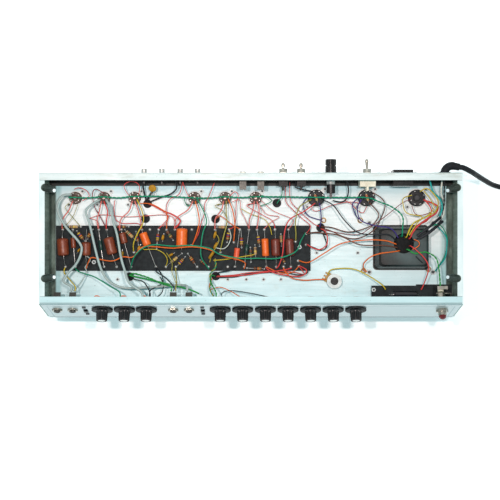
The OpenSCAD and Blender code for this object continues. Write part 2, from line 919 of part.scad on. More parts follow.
module jack(front) {
    difference() {
        union() {
            translate([0, 0, -sheet_t - fit_gap - 4])
                cylinder(d = thread_d, h = front + jack_proud + sheet_t + fit_gap + 4);
            translate([0, 0, -sheet_t - fit_gap - 5])
                cylinder(d = 17, h = 5);
            translate([-5, 7, -jack_frame])
                cube([10, 1.4, jack_frame - sheet_t - 1]);
            translate([-4, 4, -jack_frame])
                cube([8, 3.2, 5]);
            translate([-2.5, -8, -jack_frame + 2])
                cube([5, 12.5, 0.7]);
            translate([-2.5, -8, -jack_frame + 2])
                cube([5, 0.8, 9]);
        }
        translate([0, 0, -jack_frame + 4])
            cylinder(d = jack_bore_d, h = 60);
    }
}

module jacks() {
    color("silver") {
        for (x = jack_x)
            on_panel(x, jack_row)
                jack(plate_t);
        for (x = speaker_x)
            on_rear(x)
                jack(0);
    }
}

phono_bore_d = 3.5;

module phono_jacks() {
    color("silver")
        for (x = phono_x)
            on_rear(x)
                difference() {
                    union() {
                        cylinder(d = 17, h = 1);
                        cylinder(d = 8.2, h = 8);
                        translate([0, 0, -sheet_t - 6])
                            cylinder(d = 8.2, h = 7 + sheet_t);
                        translate([0, 0, -sheet_t - 12])
                            block([2, 4, 7]);
                    }
                    translate([0, 0, -sheet_t - 1])
                        cylinder(d = phono_bore_d, h = 20);
                }
}

// Toggle switches: body and bush fixed, lever on a ball that turns about X
toggle_bush_d = 11.8;
toggle_bush_l = 8;
ball_d = 7;
ball_at = 4;
bat_body = [13, 20, 16];
power_body = [23, 20, 17];

module toggle_body(size) {
    difference() {
        union() {
            translate([0, 0, -sheet_t - fit_gap - size[2]])
                block(size);
            translate([0, 0, -sheet_t - 1])
                cylinder(d = toggle_bush_d, h = toggle_bush_l + sheet_t + 1);
            for (s = [-1, 1])
                translate([0, s * 6, -sheet_t - size[2] - 6])
                    block([3, 1, 7]);
        }
        translate([0, 0, ball_at - ball_d / 2 - move_gap])
            cylinder(d = ball_d + 2 * move_gap, h = 20);
    }
}

module toggle_bodies() {
    color("lightgray") {
        for (x = bat_x)
            on_rear(x)
                toggle_body(bat_body);
        on_rear(power_x)
            toggle_body(power_body);
    }
}

// A lever drawn along Z from its ball, leaning half the throw at rest; its tip ends reach out of the wall
module lever(x, reach, tip_d) {
    l = (reach - ball_at - tip_d / 4 * sin(toggle_throw / 2)) / cos(toggle_throw / 2);
    on_rear(x)
        translate([0, 0, ball_at])
            rotate([toggle_throw / 2, 0, 0]) {
                sphere(d = ball_d);
                rotate_extrude()
                    polygon([
                        [0, 0], [1.5, 0], [1.5, 5], [tip_d / 2 - 0.4, l - 5],
                        [tip_d / 2, l - 3], [tip_d / 2 - 0.4, l - 1], [tip_d / 4, l], [0, l]
                    ]);
            }
}

module toggle_lever_1() {
    color("silver")
        lever(bat_x[0], bat_reach, 5.6);
}

module toggle_lever_2() {
    color("silver")
        lever(bat_x[1], bat_reach, 5.6);
}

module power_lever() {
    color("silver")
        lever(power_x, power_reach, 5.4);
}

// Slide switches: body behind the wall, button through the slot
slide_body = [14, 40, 11];
slide_room = 5;
slide_button = [5.6, 6.4, 9.5];

module slide_switch_bodies() {
    color("lightgray")
        for (x = slide_x)
            on_panel(x, slide_row)
                difference() {
                    translate([0, 0, -sheet_t - fit_gap - slide_body[2]])
                        block(slide_body);
                    block([slide_slot[0], slide_slot[1], 10], -sheet_t - fit_gap - slide_room);
                    for (s = [-1, 1])
                        translate([0, s * slide_pitch / 2, -sheet_t - fit_gap - 6])
                            cylinder(d = screw_hole_d, h = 10);
                }
}

module slide_button(x) {
    color([0.08, 0.08, 0.08])
        on_panel(x, slide_row - slide_travel / 2)
            difference() {
                block(slide_button, -sheet_t - fit_gap - slide_room + move_gap / 2);
                for (i = [-1 : 1])
                    translate([0, i * 1.8, slide_button[2] - sheet_t - fit_gap - slide_room])
                        block([slide_button[0] + 2, 0.7, 2], -0.3);
            }
}

module slide_button_1() {
    slide_button(slide_x[0]);
}

module slide_button_2() {
    slide_button(slide_x[1]);
}

// Fuse holder through the rear wall, and its bayonet cap with the fuse
fuse_body_l = 28;
fuse_nose_d = 12.6;
fuse_bore_d = 7;
fuse_l = 31;

module fuse_holder() {
    color([0.08, 0.08, 0.08])
        on_rear(fuse_x)
            difference() {
                union() {
                    cylinder(d = 19, h = 2.6);
                    cylinder(d = fuse_nose_d, h = 6);
                    translate([0, 0, -fuse_body_l])
                        cylinder(d = fuse_nose_d, h = fuse_body_l + 1);
                    translate([0, 0, -sheet_t - fit_gap - 4])
                        cylinder(d = 18, h = 4, $fn = 6);
                    translate([0, 0, -fuse_body_l - 6])
                        block([4, 1, 7]);
                }
                translate([0, 0, 2 - fuse_body_l])
                    cylinder(d = fuse_bore_d, h = 60);
            }
}

fuse_cap_l = 22;
fuse_d = 6.3;

module fuse_cap() {
    color([0.06, 0.06, 0.06])
        on_rear(fuse_x)
            difference() {
                union() {
                    translate([0, 0, 2.6 + move_gap])
                        cylinder(d = fuse_cap_d, h = 9);
                    translate([0, 0, 2.6 + move_gap])
                        cylinder(d = fuse_cap_d - 2.4, h = fuse_cap_l - 2.6 - move_gap);
                    translate([0, 0, 13.6])
                        cylinder(d = fuse_cap_d, h = fuse_cap_l - 13.6);
                }
                cylinder(d = fuse_nose_d + 2 * move_gap, h = 6 + move_gap);
                for (i = [0 : 11])
                    rotate(i * 30)
                        translate([fuse_cap_d / 2 + 0.3, 0, 0])
                            cylinder(d = 1.8, h = fuse_cap_l + 1, $fn = 16);
            }
    color("lightgray")
        on_rear(fuse_x)
            translate([0, 0, 6 + move_gap - fit_gap - fuse_l])
                cylinder(d = fuse_d, h = fuse_l);
}

// Mains outlet with two blade slots and screwed ears
module ac_outlet() {
    color([0.07, 0.07, 0.07])
        on_rear(outlet_x)
            difference() {
                union() {
                    translate([0, 0, -18])
                        block([outlet_body[0], outlet_body[1], 24]);
                    block([outlet_pitch + 8, 12, 1.4]);
                }
                for (s = [-1, 1]) {
                    translate([s * 6.35, 0, -13])
                        block([2.4, 8.4, 20]);
                    translate([s * outlet_pitch / 2, 0, -1])
                        cylinder(d = screw_hole_d, h = 4);
                }
            }
}

// Rubber strain relief: a bush in the wall and a quarter bend that aims the cord at the table
relief_bend = 11;
relief_base = 1.5;
relief_turn = 100;
relief_d = cord_d + 6;

module strain_relief() {
    color([0.06, 0.06, 0.06])
        on_rear(cord_x)
            difference() {
                union() {
                    translate([0, 0, -sheet_t - 6])
                        cylinder(d = 13.6, h = sheet_t + 10);
                    cylinder(d = 18, h = 3);
                    translate([-relief_bend, 0, relief_base])
                        rotate([90, 0, 0])
                            rotate_extrude(angle = relief_turn)
                                translate([relief_bend, 0])
                                    circle(d = relief_d - 2);
                    translate([-relief_bend, 0, relief_base])
                        rotate([0, -relief_turn, 0])
                            translate([relief_bend, 0, -0.5])
                                cylinder(d1 = relief_d - 2.6, d2 = cord_d + 2.4, h = 9.5);
                }
                translate([-relief_bend, 0, relief_base])
                    rotate([0, -relief_turn, 0])
                        translate([relief_bend, 0, 3])
                            cylinder(d = cord_d + 2 * run_gap, h = 20);
            }
}

// Pilot lamp: bezel outside, lamp holder and bracket inside, jewel in the bezel
module pilot_lamp() {
    color("silver")
        on_panel(pilot_x, jack_row)
            difference() {
                union() {
                    translate([0, 0, plate_t])
                        hex(15.6, 4);
                    translate([0, 0, -8])
                        cylinder(d = pilot_thread_d, h = 8 + plate_t + 9);
                    translate([0, 0, -23])
                        cylinder(d = 13, h = 21 - sheet_t);
                    translate([-7, -2, -24])
                        cube([22, 4, 1.2]);
                    translate([13.8, -2, -24])
                        cube([1.2, 4, 14]);
                }
                translate([0, 0, 2])
                    cylinder(d = 9.8, h = 30);
            }
}

module pilot_jewel() {
    color("darkred")
        on_panel(pilot_x, jack_row)
            translate([0, 0, 2 + fit_gap])
                rotate_extrude()
                    polygon([[0, 0], [4.8, 0], [4.8, 9.4], [5.6, 9.4], [5.2, 12], [3.4, 13.8], [0, 14.6]]);
}

// Bias potentiometer on the floor, adjusted from below
bias_pot_d = 22;
bias_pot_h = 11;
bias_shaft_d = 6.3;
bias_hole_d = 11;

module bias_pot() {
    color("lightgray")
        difference() {
            union() {
                on_floor(bias_at)
                    cylinder(d = bias_pot_d, h = bias_pot_h);
                under_floor(bias_at)
                    translate([0, 0, -sheet_t - 1])
                        cylinder(d = thread_d, h = sheet_t + 1 + 6);
                for (i = [-1 : 1])
                    on_floor(bias_at)
                        rotate(150)
                            translate([8, i * 5 - 1.5, 3])
                                cube([9, 3, 0.9]);
            }
            on_floor(bias_at) {
                translate([0, 0, bias_pot_h - 4])
                    cylinder(d = bias_hole_d + 2 * move_gap, h = 10);
                translate([0, 0, -30])
                    cylinder(d = bias_shaft_d + 2 * run_gap, h = 60);
            }
        }
}

module bias_shaft() {
    color([0.1, 0.1, 0.1])
        difference() {
            on_floor(bias_at) {
                translate([0, 0, bias_pot_h - 4 + move_gap])
                    cylinder(d = bias_hole_d, h = 4);
                translate([0, 0, -sheet_t - 9])
                    cylinder(d = bias_shaft_d, h = sheet_t + 9 + bias_pot_h - 2);
            }
            on_floor(bias_at) {
                block([8, 1.4, 3], bias_pot_h - 1);
                block([8, 1.2, 3], -sheet_t - 10);
            }
        }
}

// Rubber grommets in the floor
module grommets() {
    color([0.07, 0.07, 0.07])
        for (p = grommet_at)
            on_floor(p)
                difference() {
                    union() {
                        cylinder(d = grommet_d, h = 2.2);
                        translate([0, 0, -sheet_t - 2])
                            cylinder(d = grommet_d, h = 2);
                        translate([0, 0, -sheet_t - 1])
                            cylinder(d = grommet_d - 3 - 2 * run_gap, h = sheet_t + 2);
                    }
                    translate([0, 0, -10])
                        cylinder(d = grommet_bore_d, h = 20);
                }
}

// Screws, head below the floor: place, thickness above the floor, below it, and whether a nut is on
module screw(p, above, below, nut = true) {
    translate([p[0], p[1], stand_h - below - 2])
        cylinder(d = screw_head_d, h = 2, $fn = 24);
    translate([p[0], p[1], stand_h - below - 1])
        cylinder(d = screw_d, h = 1 + below + sheet_t + above + (nut ? 3.4 : -0.2), $fn = 24);
    if (nut)
        translate([p[0], p[1], z_in + above])
            hex(nut_af, nut_h);
}

module chassis_screws() {
    color("silver") {
        for (x = noval_x, p = diagonal([x, socket_y], noval_screw))
            screw(p, socket_plate_t, 0);
        for (x = octal_x, p = diagonal([x, socket_y], octal_screw))
            screw(p, socket_plate_t, retainer_t);
        for (p = board_screws)
            screw(p, sheet_under + board_t, 0);
        for (p = bias_screws)
            screw(p, 12 + bias_board[2], 0);
        for (p = output_screws)
            screw(p, 0, 2);
        for (p = choke_screws)
            screw(p, 0, 1.2);
        for (p = reverb_screws)
            screw(p, 0, 1.2, false);
        for (p = filter_screws)
            screw(p, 0, pan_t);
        for (p = mains_bolts) {
            translate([p[0], p[1], stand_h - mains_stack - bell_flange_t - 3])
                hex(7.5, 3);
            translate([p[0], p[1], stand_h - mains_stack - bell_flange_t - 1])
                cylinder(d = 4.6, h = 1 + bell_flange_t + mains_stack + sheet_t + 5);
            translate([p[0], p[1], z_in])
                hex(8, 3.2);
        }
        for (x = slide_x, s = [-1, 1])
            on_panel(x, slide_row)
                translate([0, s * slide_pitch / 2, 0]) {
                    translate([0, 0, plate_t])
                        cylinder(d = screw_head_d, h = 1.4);
                    translate([0, 0, -sheet_t - 5])
                        cylinder(d = screw_d, h = sheet_t + 5 + plate_t + 0.5);
                }
        for (s = [-1, 1])
            on_rear(outlet_x)
                translate([s * outlet_pitch / 2, 0, 0]) {
                    translate([0, 0, 1.4])
                        cylinder(d = screw_head_d, h = 1.4);
                    translate([0, 0, -sheet_t - 5])
                        cylinder(d = screw_d, h = sheet_t + 5 + 2);
                    translate([0, 0, -sheet_t - nut_h])
                        hex(nut_af, nut_h);
                }
    }
}

// A control knob: thick dial skirt round the nut, fluted grip standing on it, metal cap and the shaft it turns
module knob(x) {
    bore_top = knob_top - 4;
    nut_room_d = big_nut_af * 1.17 + 2;
    skirt_top = plate_t + nut_h + 1.7;
    grip_foot = skirt_top + run_gap;
    on_panel(x, knob_row) {
        color([0.06, 0.06, 0.06])
            rotate_extrude()
                polygon([
                    [nut_room_d / 2, knob_lift], [knob_d / 2, knob_lift], [knob_d / 2, skirt_top - 0.7],
                    [knob_d / 2 - 0.7, skirt_top - 0.3], [grip_d / 2 + 1.4, skirt_top], [nut_room_d / 2, skirt_top]
                ]);
        color([0.06, 0.06, 0.06])
            difference() {
                rotate_extrude()
                    polygon([
                        [0, grip_foot], [grip_d / 2 + 1.2, grip_foot], [grip_d / 2 + 0.3, grip_foot + 0.9],
                        [grip_d / 2, grip_foot + 2], [grip_top_d / 2 + 0.5, knob_top - 1],
                        [grip_top_d / 2, knob_top], [0, knob_top]
                    ]);
                cylinder(d = thread_d + 1.2, h = thread_top + 0.6);
                cylinder(d = shaft_d + 2 * run_gap, h = bore_top);
                translate([0, 0, knob_top - 0.8])
                    cylinder(d = cap_d + 2 * run_gap, h = 2);
                for (i = [0 : flutes - 1])
                    rotate((i + 0.5) * 360 / flutes)
                        translate([grip_d / 2 + 0.1, 0, grip_foot + 1.2])
                            rotate([0, -atan((grip_d - grip_top_d) / 2 / (knob_top - grip_foot - 2)), 0])
                                cylinder(d = 1.5, h = knob_h, $fn = 16);
            }
        color("silver")
            translate([0, 0, knob_top - 0.8 + run_gap])
                cylinder(d = cap_d, h = 0.7);
        color("lightgray")
            translate([0, 0, pot_face - shaft_depth + run_gap])
                cylinder(d = shaft_d, h = bore_top - pot_face + shaft_depth - 2 * run_gap);
    }
}

module knob_1() { knob(knob_x[0]); }
module knob_2() { knob(knob_x[1]); }
module knob_3() { knob(knob_x[2]); }
module knob_4() { knob(knob_x[3]); }
module knob_5() { knob(knob_x[4]); }
module knob_6() { knob(knob_x[5]); }
module knob_7() { knob(knob_x[6]); }
module knob_8() { knob(knob_x[7]); }
module knob_9() { knob(knob_x[8]); }
module knob_10() { knob(knob_x[9]); }

// Tubes swept along points, with rings square to the route
function route_dir(p, i) = unit(p[min(i + 1, len(p) - 1)] - p[max(i - 1, 0)]);
function smooth(a, b, c, d, t) =
    0.5 * (2 * b + (c - a) * t + (2 * a - 5 * b + 4 * c - d) * t * t + (3 * b - a - 3 * c + d) * t * t * t);
function curve(p, steps) = [
    for (i = [0 : len(p) - 2], k = [0 : steps - 1])
        smooth(p[max(i - 1, 0)], p[i], p[i + 1], p[min(i + 2, len(p) - 1)], k / steps),
    p[len(p) - 1]
];
function ring(c, dir, side, r, sides) =
    let (up = cross(side, dir))
    [for (k = [0 : sides - 1]) c + r * (cos(360 * k / sides) * side + sin(360 * k / sides) * up)];
function flatten_to(s, dir) = unit(s - (s * dir) * dir);
function ring_sides(dirs) =
    let (first = unit(cross(dirs[0], abs(dirs[0][2]) > 0.9 ? [1, 0, 0] : [0, 0, 1])), n = len(dirs))
    [for (i = 0, s = first; i < n; i = i + 1, s = i < n ? flatten_to(s, dirs[i]) : s) s];

module sweep(p, d, sides) {
    n = len(p);
    dirs = [for (i = [0 : n - 1]) route_dir(p, i)];
    turns = ring_sides(dirs);
    points = [for (i = [0 : n - 1]) each ring(p[i], dirs[i], turns[i], d / 2, sides)];
    walls = [
        for (i = [0 : n - 2], k = [0 : sides - 1])
            let (a = i * sides + k, b = i * sides + (k + 1) % sides)
            each [[a, b, b + sides], [a, b + sides, a + sides]]
    ];
    caps = [
        for (k = [1 : sides - 2]) [0, k + 1, k],
        for (k = [1 : sides - 2]) [(n - 1) * sides, (n - 1) * sides + k, (n - 1) * sides + k + 1]
    ];
    polyhedron(points, concat(walls, caps));
}

// The mains cord: a free stretch from the relief down to the table, then the put-away coil
coil_centre = [472, lay + 24];
coil_pitch = cord_d + 0.6;
coil_tail = 32;
coil_out = coil_in + coil_turns * coil_pitch;
cord_z = cord_d / 2 + 0.3;
relief_end = [
    cord_x + relief_bend * (1 - cos(relief_turn)), rear_y + relief_base + relief_bend * sin(relief_turn)
];
relief_dir = [sin(relief_turn), cos(relief_turn), 0];
relief_out = [relief_end[0], relief_end[1], stand_h + rear_row];
coil_start = [coil_centre[0], coil_centre[1] + coil_out, cord_z];
cord_route = [
    for (l = [3.2, 9, 16]) relief_out + l * relief_dir,
    relief_out + [30, -8, -10],
    for (p = [[340, 102, 88], [364, 96, 50], [386, 91, 20]]) p + [0, lay, 0],
    [412, coil_start[1] + 1, cord_z + 1],
    coil_start - [30, 0, 0], coil_start - [cord_d + fit_gap, 0, 0]
];
coil_rings = 24 * round(2 * coil_turns);
coil_path = [
    coil_start - [cord_d, 0, 0],
    for (i = [0 : coil_rings])
        let (t = i / 24 - coil_turns, a = 90 - 15 * i, r = coil_in + coil_pitch * abs(t))
        let (c = min(max(2 * t + 0.5, 0), 1))
        [
            coil_centre[0] + r * cos(a), coil_centre[1] + r * sin(a),
            cord_z + coil_pitch * c * c * (3 - 2 * c)
        ],
    coil_start + [coil_tail, 0, coil_pitch]
];
coil_gap = min([
    for (i = [0 : len(coil_path) - 14], j = [i + 13 : len(coil_path) - 1]) norm(coil_path[i] - coil_path[j])
]) - cord_d;
echo(coil_gap = coil_gap);
assert(coil_gap > 0.4, "the coil's turns touch");

module mains_cord_run() {
    color([0.05, 0.05, 0.05])
        sweep(curve(cord_route, 4), cord_d, 10);
}

module mains_cord_coil() {
    color([0.05, 0.05, 0.05])
        sweep(coil_path, cord_d, 6);
}

// The plug lies beside the coil with its blades pointing away
module mains_plug() {
    color([0.07, 0.07, 0.07])
        translate(coil_start + [coil_tail + fit_gap, 0, coil_pitch])
            rotate([0, 90, 0]) {
                cylinder(d1 = cord_d + 2, d2 = 15, h = 20);
                translate([0, 0, 18])
                    block([24, 28, 22]);
                for (s = [-1, 1])
                    translate([-3, s * 6.35, 39])
                        block([6.3, 1.5, 18]);
                translate([7, 0, 39])
                    cylinder(d = 4.8, h = 20);
            }
}

// Hook-up wire: solder points, each listed from its end to the way out of it
solder = 0.5;
pair_d = wire_d + 1.4;
shield_wire_d = 2 * wire_d;
function above(p, h) = [p, p + [0, 0, h]];
function lug(x, kind, d, top, k) =
    let (a = pin_angle(kind, k), r = d / 2 - 2.2)
    above([x + r * cos(a), socket_y + r * sin(a), z_in + top + noval_lug_h + solder], 5);
function n_lug(s, k) = lug(noval_x[s], noval, noval_d, noval_top, k);
function o_lug(s, k) = lug(octal_x[s], octal, octal_d, octal_top, k);
function eye(p) = above([p[0], p[1], board_z + 0.7 + solder], 4);
function top_eye(i) = eye([eyelet_top_x[i], board_y + eyelet_rows / 2 + 1.9]);
function low_eye(i) = eye([eyelet_low_x[i], board_y - eyelet_rows / 2 - 1.9]);
function end_eye(i, x, y) = eye(eyelet_end[i] + [x, y]);
function jack_end(i, x) =
    [for (w = [0.8, 8]) panel_point(jack_x[i] + x, jack_row + 7.7, -jack_frame - w)];
function pot_end(i, k) =
    [for (w = [4.7, pot_l + 4]) panel_point(knob_x[i] + 6 * k, knob_row + pot_d / 2 + 2.8, pot_face - w)];
function bell_end(x, y) =
    let (p = [mains_at[0] + x, mains_at[1] + lead_hole_y + y, 0])
    [p + [0, 0, stand_h + 18 + solder], p + [0, 0, z_in + inner_bell_h + 1]];
function grommet_end(i, a) =
    let (p = grommet_at[i] + 2.2 * [cos(a), sin(a)])
    [[p[0], p[1], stand_h], [p[0], p[1], z_in + 6]];
function board_end(x, y) = above([x, y + lay, z_in + 12 + bias_board[2] + solder], 4);
function bias_lug(i) =
    let (p = [13.5 * cos(150) - 5 * i * sin(150), 13.5 * sin(150) + 5 * i * cos(150)] + bias_at)
    above([p[0], p[1], z_in + 3.9 + solder], 4);
function over(p) = [for (q = p) [q[0], q[1] + lay, z_in + q[2]]];
function back(p) = [for (i = [len(p) - 1 : -1 : 0]) p[i]];
function wire(from, mid, to) = concat(from, over(mid), back(to));
pilot_end = [for (w = [24.8, 31]) panel_point(pilot_x, jack_row, -w)];
cord_end = [for (y = [7 + sheet_t, 14]) [cord_x, rear_y - y - solder, stand_h + rear_row]];
earth_ends = [for (s = [1, -1]) over([[mains_at[0] + 51.6, mains_at[1] - lay + s * 35.5, 4.6]])];

green_pairs = [
    wire(n_lug(0, 2), concat(
        [[-264, row_y, 20]],
        [for (x = [-243, -221, -198, -175, -130, -85, -62, -39, -16, 7]) [x, row_y + 0.5, 18]],
        [[50, row_y, 18], [98, row_y, 20], [136, row_y, 20], [173, 66, 20], [190, 60, 22]],
        [[208, 52, 28], [223, 38, 33], [223, 20, 34]]), bell_end(-3, 11)),
    wire(grommet_end(5, 80), [[-174, -47, 12], [-150, -54, 18], [-134, -61, 26]], jack_end(2, -3.4)),
    wire(grommet_end(6, 180), [[-59, -50, 14], [-60, -58, 26]], pot_end(3, -1)),
    wire(bell_end(6, -9), [[242, -17, 33], [258, -15, 31], [273, -23, 27], [278, -38, 26]], pilot_end)
];
green_wires = [
    wire(low_eye(1), [[-257, -44, 16], [-246, -47, 24], [-231, -52, 26], [-207, -65, 38]], pot_end(1, -1)),
    wire(n_lug(3, 6), [[-70, 45, 20], [-66, 30, 22], [-71, 16, 21], [-74, -2, 21], [-74, -22, 21]],
        low_eye(10)),
    wire(end_eye(0, -2, 0), [[74, 2, 24], [66, -14, 29], [40, -24, 29], [10, -24, 29], [-16, -24, 30],
        [-46, -18, 31], [-62, -9, 31], [-90, -5, 30], [-116, -6, 30], [-142, -4, 30], [-160, -9, 30],
        [-172, -21, 30], [-178, -34, 20]], low_eye(5)),
    wire(earth_ends[0], [[283, 20, 10], [290, 8, 20], [291, -5, 22], [289, -24, 18], [282, -36, 9]],
        earth_ends[1])
];
red_wires = [
    wire(end_eye(1, 2, 0), [[93, -9, 16], [102, -11, 20], [112, -5, 20], [114, 6, 18], [111, 16, 13]],
        grommet_end(4, -70)),
    wire(grommet_end(6, -30), [[-44, -51, 11], [-31, -51, 12], [-7, -49, 11], [14, -46, 10], [40, -43, 12],
        [52, -41, 13]], low_eye(16)),
    wire(o_lug(0, 3), [[78, 45, 22], [58, 34, 24], [50, 16, 25], [47, -16, 24], [42, -34, 16]],
        low_eye(15)),
    wire(low_eye(14), [[30, -44, 16], [44, -48, 20], [66, -51, 19], [79, -49, 16], [83, -42, 13]],
        end_eye(2, 2, 0)),
    wire(bell_end(10, -4), [[243, -12, 36], [255, -24, 36], [262, -38, 32], [258, -58, 24]],
        board_end(254, -70)),
    wire(bell_end(9, 8), [[245, 24, 33], [261, 32, 26], [268, 48, 21]], o_lug(2, 5)),
    wire(n_lug(0, 4), [[-271, 48, 18], [-281, 34, 16]], top_eye(0)),
    wire(n_lug(1, 4), [[-226, 46, 18], [-230, 32, 14]], top_eye(2)),
    wire(n_lug(1, 5), [[-214, 46, 16], [-216, 32, 14]], top_eye(3)),
    wire(n_lug(2, 4), [[-182, 46, 18], [-194, 34, 16]],
        eye([eyelet_top_x[4] - 2, board_y + eyelet_rows / 2])),
    wire(n_lug(2, 5), [[-168, 46, 17], [-165, 32, 14]], top_eye(5)),
    wire(n_lug(3, 4), [[-94, 48, 18], [-111, 36, 16]], top_eye(9)),
    wire(n_lug(4, 4), [[-44, 48, 18], [-53, 35, 15]], top_eye(11)),
    wire(n_lug(5, 4), [[3, 48, 18], [-2, 34, 15]], top_eye(14)),
    wire(n_lug(5, 5), [[12, 48, 18], [11, 34, 15]], top_eye(15))
];
orange_wires = [
    wire(low_eye(2), [[-242, -30, 20], [-236, -23, 25], [-222, -26, 25], [-205, -28, 25], [-190, -22, 25],
        [-175, -22, 25], [-162, -8, 25], [-142, -7, 26], [-116, -9, 26], [-87, -7, 26], [-62, -11, 26],
        [-40, -21, 25], [-22, -25, 24], [-9, -31, 16]], low_eye(13)),
    wire(n_lug(3, 5), [[-79, 46, 20], [-77, 30, 22], [-81, 12, 20]], end_eye(3, 2, 0)),
    wire(n_lug(4, 6), [[-27, 46, 20], [-24, 26, 22], [-25, 10, 16]], end_eye(4, 0, 2)),
    wire(end_eye(5, 0, -2), [[52, -45, 10], [62, -54, 10], [80, -57, 10], [98, -56, 10]], bias_lug(1)),
    wire(end_eye(6, 2, 0), [[86, -30, 20], [108, -17, 24], [134, -2, 26], [170, 3, 32], [198, 2, 33]],
        bell_end(-12, -1)),
    wire(bell_end(-7, -11), [[205, -15, 33], [190, -17, 32], [177, -22, 28], [168, -32, 18]],
        over([[174.4, -44, 4.8], [170, -42, 8]])),
    wire(n_lug(2, 6), [[-162, 46, 20], [-160, 30, 22], [-169, 12, 22], [-175, -2, 18]], end_eye(7, 0, 2)),
    wire(low_eye(8), [[-112, -47, 14], [-110, -59, 26]], jack_end(2, 3.4)),
    wire(n_lug(4, 5), [[-37, 44, 18], [-36, 28, 20], [-42, 4, 20]], end_eye(8, 0, 2)),
    wire(o_lug(0, 2), [[72, 52, 31], [66, 32, 25], [67, 12, 16]], end_eye(9, 0, 2)),
    wire(low_eye(0), [[-279, -46, 14], [-268, -57, 24]], jack_end(1, 3)),
    wire(bias_lug(-1), [[121, -41, 12], [142, -39, 14], [159, -42, 16], [178, -52, 19], [194, -63, 22]],
        board_end(200, -70)),
    wire(bell_end(4, 10), [[238, 27, 38], [251, 34, 35], [272, 45, 29], [277, 62, 24], [263, 79, 22]],
        o_lug(2, 7))
];
dark_pairs = [
    wire(bell_end(12, 2), [[250, 8, 34], [266, 18, 31], [281, 32, 25], [286, 52, 23], [286, 72, 27]],
        cord_end)
];
dark_wires = [
    wire(o_lug(0, 5), [[122, 54, 26], [138, 32, 31], [157, 14, 36], [180, 11, 38], [202, 11, 37]],
        bell_end(-12, 4)),
    wire(end_eye(0, 2, 0), [[96, 14, 14], [112, 13, 22], [132, 9, 30], [160, -4, 36], [195, -5, 37]],
        bell_end(-11, -6)),
    wire(o_lug(0, 4), [[104, 46, 17], [105, 33, 13]], grommet_end(4, 140)),
    wire(o_lug(1, 2), [[158, 50, 21], [163, 32, 26], [184, 24, 31], [206, 20, 33]], bell_end(-9, 9)),
    wire(o_lug(1, 4), [[190, 43, 17], [187, 32, 18], [174, 22, 20], [146, 15, 17], [120, 22, 14]],
        grommet_end(4, 30)),
    wire(grommet_end(5, -40), [[-172, -56, 14], [-158, -59, 34]], pot_end(2, 1)),
    wire(low_eye(6), [[-141, -45, 14], [-128, -52, 25]], jack_end(2, 0.2)),
    wire(grommet_end(6, 70), [[-47, -45, 13], [-34, -43, 13]], low_eye(12))
];
shielded_wires = [
    wire(n_lug(0, 1), [[-280, 68, 25], [-287, 52, 28], [-276, 26, 30], [-254, 0, 30], [-250, -13, 31],
        [-257, -31, 31], [-271, -47, 31], [-276, -58, 33]], jack_end(1, -3)),
    wire(n_lug(1, 3), [[-236, 56, 23], [-244, 45, 28], [-238, 25, 30], [-226, -24, 33], [-217, -48, 33],
        [-206, -61, 28], [-186, -68, 24], [-148, -67, 24], [-112, -64, 22], [-99, -64, 28]], jack_end(3, -3)),
    wire(n_lug(1, 6), [[-208, 50, 24], [-204, 30, 26], [-198, 10, 28], [-192, -22, 31], [-186, -42, 33],
        [-178, -60, 42]], pot_end(2, -1))
];

module wires(routes, d) {
    for (r = routes)
        sweep(curve(r, 2), d, 6);
}

module wires_green() {
    color("seagreen") {
        wires(green_pairs, pair_d);
        wires(green_wires, wire_d);
    }
}

module wires_red() {
    color("firebrick")
        wires(red_wires, wire_d);
}

module wires_orange() {
    color("orange")
        wires(orange_wires, wire_d);
}

module wires_dark() {
    color([0.12, 0.09, 0.11]) {
        wires(dark_pairs, pair_d);
        wires(dark_wires, wire_d);
    }
}

module shielded_cables() {
    color("darkgray")
        wires(shielded_wires, shield_wire_d);
}

chassis_pan();
end_plates();
control_plate();
component_boards();
board_eyelets();
moulded_capacitors();
film_capacitors();
disc_capacitors();
electrolytic_capacitors();
resistors();
noval_sockets();
octal_sockets();
preamp_tubes();
tube_shields();
octal_tubes();
tube_retainers();
power_transformer_core();
power_transformer_bells();
output_transformer();
small_transformers();
filter_capacitor_pan();
pot_bodies();
panel_nuts();
jacks();
phono_jacks();
toggle_bodies();
slide_switch_bodies();
fuse_holder();
ac_outlet();
strain_relief();
pilot_lamp();
pilot_jewel();
bias_pot();
grommets();
chassis_screws();
knob_1();
knob_2();
knob_3();
knob_4();
knob_5();
knob_6();
knob_7();
knob_8();
knob_9();
knob_10();
slide_button_1();
slide_button_2();
toggle_lever_1();
toggle_lever_2();
power_lever();
bias_shaft();
fuse_cap();
mains_cord_run();
mains_cord_coil();
mains_plug();
wires_green();
wires_red();
wires_orange();
wires_dark();
shielded_cables();
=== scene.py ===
"""Looks of a guitar amplifier head's chassis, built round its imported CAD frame. Lengths are in millimetres."""
import math
import random
from collections import namedtuple

import bpy
from mathutils import Matrix, Vector


